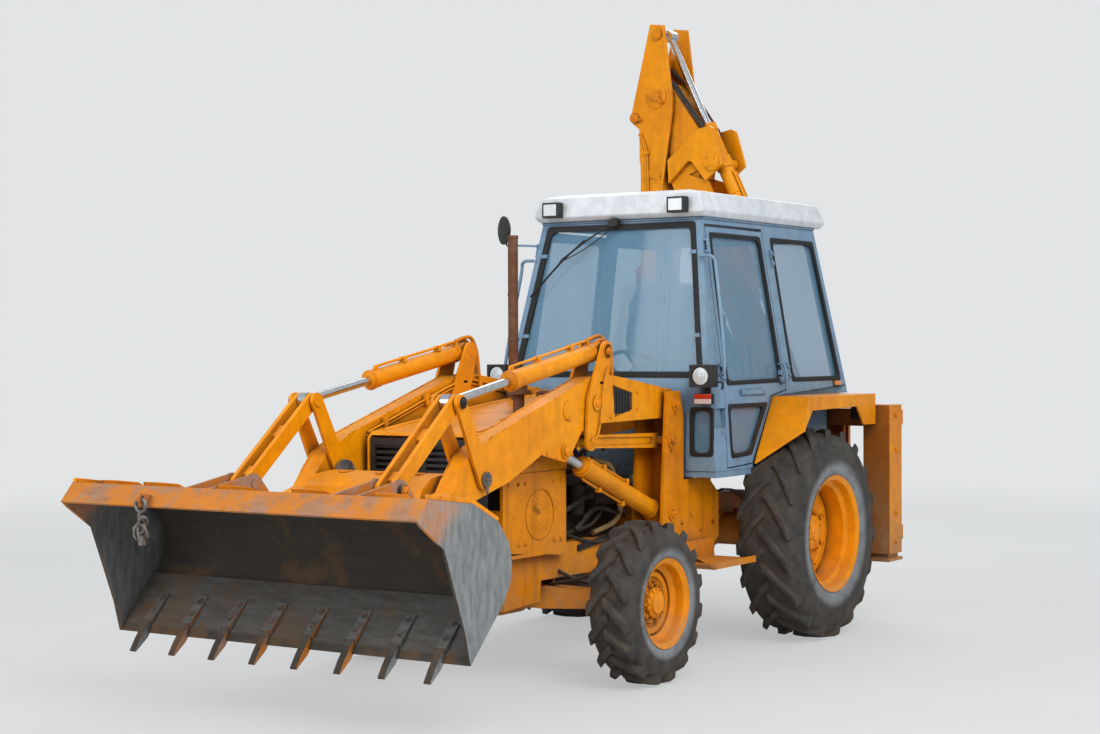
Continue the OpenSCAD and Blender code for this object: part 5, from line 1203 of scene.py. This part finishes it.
hoe_pins("boom_pin_heads", "boom", ORANGE_WORN, ("foot", 133, 0.032, 60, 60), ("ram_eye", 135, 0.030, 30, -62))
kit = Kit()
BOOM_LINE = [(318, 1120), (372, 1400), (646, 2150), (930, 2700), (1050, 3010)]
for s in (1, -1):
    # Bolted trunnion covers on the ears
    kit.lathe(hoe(*HOE["trunnion"], s * 170), ACROSS * s, [(0, 0.066), (0.010, 0.066), (0.013, 0.060), (0.013, 0.030),
                                                           (0.017, 0.026)], 32)
    for spot in circle(*HOE["trunnion"], 48, 4, math.pi / 4):
        kit.nut(hoe(*spot, s * 182), ACROSS * s, 0.009, 0.007)
    # Three steel pipes clipped along each side of the boom
    for k in (-1, 0, 1):
        kit.tube([hoe(x + 24 * k, z - 8 * k, s * 135) for x, z in BOOM_LINE], 0.008, 8)
        x, z = BOOM_LINE[-1]
        x, z = x + 24 * k, z - 8 * k
        kit.tube([hoe(x, z - 12, s * 135), hoe(x + 14, z + 26, s * 135)], 0.012, 6, False)
    for (x, z), (u, v) in zip(BOOM_LINE[:-1], BOOM_LINE[1:]):
        for t in (0.3, 0.75):
            p = Vector((x + (u - x) * t, z + (v - z) * t))
            way = Vector((u - x, v - z)).normalized()
            over = Vector((way.y, -way.x)) * 38
            kit.hoe_slab(strap(p - over, p + over, 13), s * 125, s * 145)
piece("boom_pipes", kit, "boom", ORANGE, 0.001)

# Steel pipes along each ram by (distance, offset) spots, and the bands that hold them
for name, body, a, b, r, pipes, bands in (
        ("boom_ram_pipe", "boom_ram_barrel", "ram_base", "ram_eye", 0.009,
         ((0, [(150, 58), (168, 74), (880, 74), (990, 72), (1004, 58)]),), ((380, 0.064), (720, 0.064))),
        ("dipper_ram_pipes", "dipper_ram_barrel", "trunnion", "tail", 0.009,
         ((0, [(-770, 50), (-752, 68), (-400, 70), (-130, 70), (-108, 54)]),
          (26, [(-700, 54), (-690, 66), (-400, 68), (-130, 68), (-108, 54)])), ((-640, 0.060), (-260, 0.060))),
        ("digging_ram_pipes", "bucket_ram_barrel", "bucket_ram", "rocker_tip", 0.008,
         ((0, [(84, 42), (100, 56), (560, 56), (634, 54), (648, 42)]),
          (26, [(84, 38), (104, 50), (300, 50), (330, 44)])), ())):
    kit = Kit()
    for y, spots in pipes:
        kit.tube([hoe(*along(HOE[a], HOE[b], d, off), y) for d, off in spots], r, 8)
    for d, reach in bands:
        hoe_band(kit, a, b, d, reach)
    piece(name, kit, body, ORANGE)
hoe_pins("rocker_pin_heads", "bucket_rocker", ORANGE_WORN, ("rocker", 178, 0.026))

# Hoses through the fork at the boom's tip, and from the kingpost to the boom's pipes
for word, start, end, near, far, paths in (
        ("elbow", "boom", "dipper", hoe(1150, 3700), hoe(1400, 4040),
         [[(1004, 3440, y), (1018, 3560, y), (1103 - k, 3678 + k, y), (1206 - k, 3814 + k, y),
           (1283 - k, 3916 + k, y), (1370, 3990, y * 1.1), (1450, 4060, y * 1.2), (1484, 4090, y * 1.2)]
          for y, k in ((-112, 0), (-90, 8), (90, 6), (112, 0))]),
        ("foot", "kingpost", "boom", hoe(150, 960), hoe(300, 1120),
         [[(40, 900 + 30 * k, s * 70), (90, 960 + 30 * k, s * 112), (190, 1040 + 22 * k, s * 150),
           (290 + 24 * k, 1080 - 8 * k, s * 140), (318 + 24 * k, 1130 - 8 * k, s * 135)]
          for s in (1, -1) for k in (-1, 0, 1)])):
    kit = Kit()
    for path in paths:
        kit.tube([hoe(*spot) for spot in path], 0.010, 8)
    hose = piece(f"hoe_{word}_hoses", kit, end, HOSE)
    hose.parent = None
    hose.matrix_world = Matrix.Identity(4)
    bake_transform(hose)

# Wear straps round the digging bucket's skin
DIG_SKIN = [(250, -120), (400, -230), (480, -400), (465, -590), (370, -760), (20, -930)]


def dig(x, z):
    """A point drawn round the digging bucket's hinge pin, turned to the parked curl."""
    a = math.radians(45)
    return HOE["hinge"][0] + x * math.cos(a) + z * math.sin(a), HOE["hinge"][1] - x * math.sin(a) + z * math.cos(a)


kit = Kit()
middle = Vector((150, -480))
swollen = [tuple(Vector(spot) + (Vector(spot) - middle).normalized() * 12) for spot in DIG_SKIN]
for y in (-210, 0, 210):
    kit.hoe_slab([dig(*spot) for spot in DIG_SKIN[::-1] + swollen], y - 24, y + 24)
piece("digging_bucket_straps", kit, "dig_bucket", DIG_BUCKET, 0.002)
hoe_pins("digging_bucket_pin_heads", "dig_bucket", BARE, ("hinge", 206, 0.032, 56, 44), ("link", 210, 0.030))

# Bolts of the carriage's clamps, the kingpost's caps and the columns' lugs
kit = Kit()
for y in (190, 330, 570, 710):
    for z in (1482, 1440, 590, 548):
        kit.nut(at(-1106, z, y), (-1, 0, 0), 0.015, 0.013)
for z in (900, 1120):
    kit.box(at(-1112, z - 40, 300), at(-1106, z + 40, 600))
piece("carriage_bolts", kit, "carriage", BARE, 0.001)
kit = Kit()
for z, way in ((1431, 1), (468, -1)):
    kit.lathe(hoe(0, z), (0, 0, way), [(0, 0.058), (0.010, 0.058), (0.014, 0.040), (0.014, 0.010), (0.024, 0.006),
                                       (0.025, 0.001)], 32)
piece("kingpost_caps", kit, "kingpost", BARE, 0.001)
kit = Kit()
for z in (1440, 1200, 760, 560):
    kit.nut(at(-905, z, 1170), ASIDE, 0.014, 0.012)
kit.box(at(-1024, 1300, 1090), at(-1010, 1400, 1150))
kit.lathe(at(-1024, 1350, 1120), (-1, 0, 0), [(0, 0.030), (0.016, 0.030), (0.020, 0.024)], 20)
piece("column_bolts", kit.mirrored(), "chassis", ORANGE_WORN, 0.001)


# Stage, light and camera

def stage():
    """Pale floor that fades into the background, an even sky and three soft lights."""
    g = Graph("pale_floor")
    shade = g.step(g.noise(0.6, 3, 0.5), 0.3, 0.7, 0.0, 1.0)
    half, clear, faded = 60, 4.5, 17     # the floor's half size, and where it starts and ends its fade
    floor = bpy.data.objects.new("floor", bpy.data.meshes.new("floor"))
    corners = [(-half, -half, 0), (half, -half, 0), (half, half, 0), (-half, half, 0)]
    floor.data.from_pydata(corners, [], [(0, 1, 2, 3)])
    g.finish(g.blend(shade, srgb(200, 201, 201), srgb(206, 207, 207)), 0.9)
    glow = g.node("ShaderNodeEmission", {"Color": srgb(226, 228, 229), "Strength": 1.0}).outputs[0]
    away = g.node("ShaderNodeVectorMath", {0: g.place}, operation="LENGTH").outputs["Value"]
    seen = g.times(g.node("ShaderNodeLightPath", {}).outputs["Is Camera Ray"], g.step(away, clear, faded, 0.55, 1.0))
    mixed = g.node("ShaderNodeMixShader", {0: seen, 1: g.shader.outputs[0], 2: glow})
    g.tree.links.new(mixed.outputs[0], g.out.inputs[0])
    floor.data.materials.append(g.material)
    bpy.context.scene.collection.objects.link(floor)

    world = bpy.data.worlds.new("studio")
    bpy.context.scene.world = world
    world.use_nodes = True
    tree = world.node_tree
    tree.nodes.clear()
    paths = tree.nodes.new("ShaderNodeLightPath")
    seen = tree.nodes.new("ShaderNodeMath")
    seen.operation = "MAXIMUM"
    tree.links.new(paths.outputs["Is Camera Ray"], seen.inputs[0])
    tree.links.new(paths.outputs["Is Transmission Ray"], seen.inputs[1])
    light, back = tree.nodes.new("ShaderNodeBackground"), tree.nodes.new("ShaderNodeBackground")
    light.inputs[0].default_value, light.inputs[1].default_value = (0.95, 0.98, 1.0, 1), 0.6
    back.inputs[0].default_value, back.inputs[1].default_value = srgb(226, 228, 229), 1.0
    mixed, out = tree.nodes.new("ShaderNodeMixShader"), tree.nodes.new("ShaderNodeOutputWorld")
    tree.links.new(seen.outputs[0], mixed.inputs[0])
    tree.links.new(light.outputs[0], mixed.inputs[1])
    tree.links.new(back.outputs[0], mixed.inputs[2])
    tree.links.new(mixed.outputs[0], out.inputs[0])

    for name, place, power, size, colour in (
            ("key", (5.5, 7.5, 8.0), 860, 7.0, (1.0, 0.98, 0.95)),
            ("fill", (10.0, -3.0, 5.0), 340, 6.0, (0.95, 0.98, 1.0)),
            ("rear", (-8.0, -3.0, 7.0), 340, 6.0, (0.97, 0.98, 1.0))):
        lamp = bpy.data.objects.new(name, bpy.data.lights.new(name, "AREA"))
        lamp.data.energy, lamp.data.size, lamp.data.color = power, size, colour
        lamp.location = place
        lamp.rotation_euler = (Vector((0, 0, 1.2)) - Vector(place)).to_track_quat("-Z", "Y").to_euler()
        bpy.context.scene.collection.objects.link(lamp)


def camera():
    """The photograph's viewpoint, fitted to the machine's own measures."""
    place = Vector((11.8894 + AXLE_X, 6.66285, 1.91618))
    forward = Vector((-0.83735, -0.54657, -0.00992))
    up = Vector((-0.01029, -0.00239, 0.99994))
    right = forward.cross(up).normalized()
    up = right.cross(forward).normalized()
    turn = Matrix((right, up, -forward)).transposed().to_4x4()
    made = bpy.data.objects.new("camera", bpy.data.cameras.new("camera"))
    made.data.sensor_width, made.data.lens = 36.0, 64.78
    made.data.clip_end = 200
    made.matrix_world = Matrix.Translation(place) @ turn
    bpy.context.scene.collection.objects.link(made)
    bpy.context.scene.camera = made


stage()
camera()
bpy.context.scene.view_settings.view_transform = "Standard"
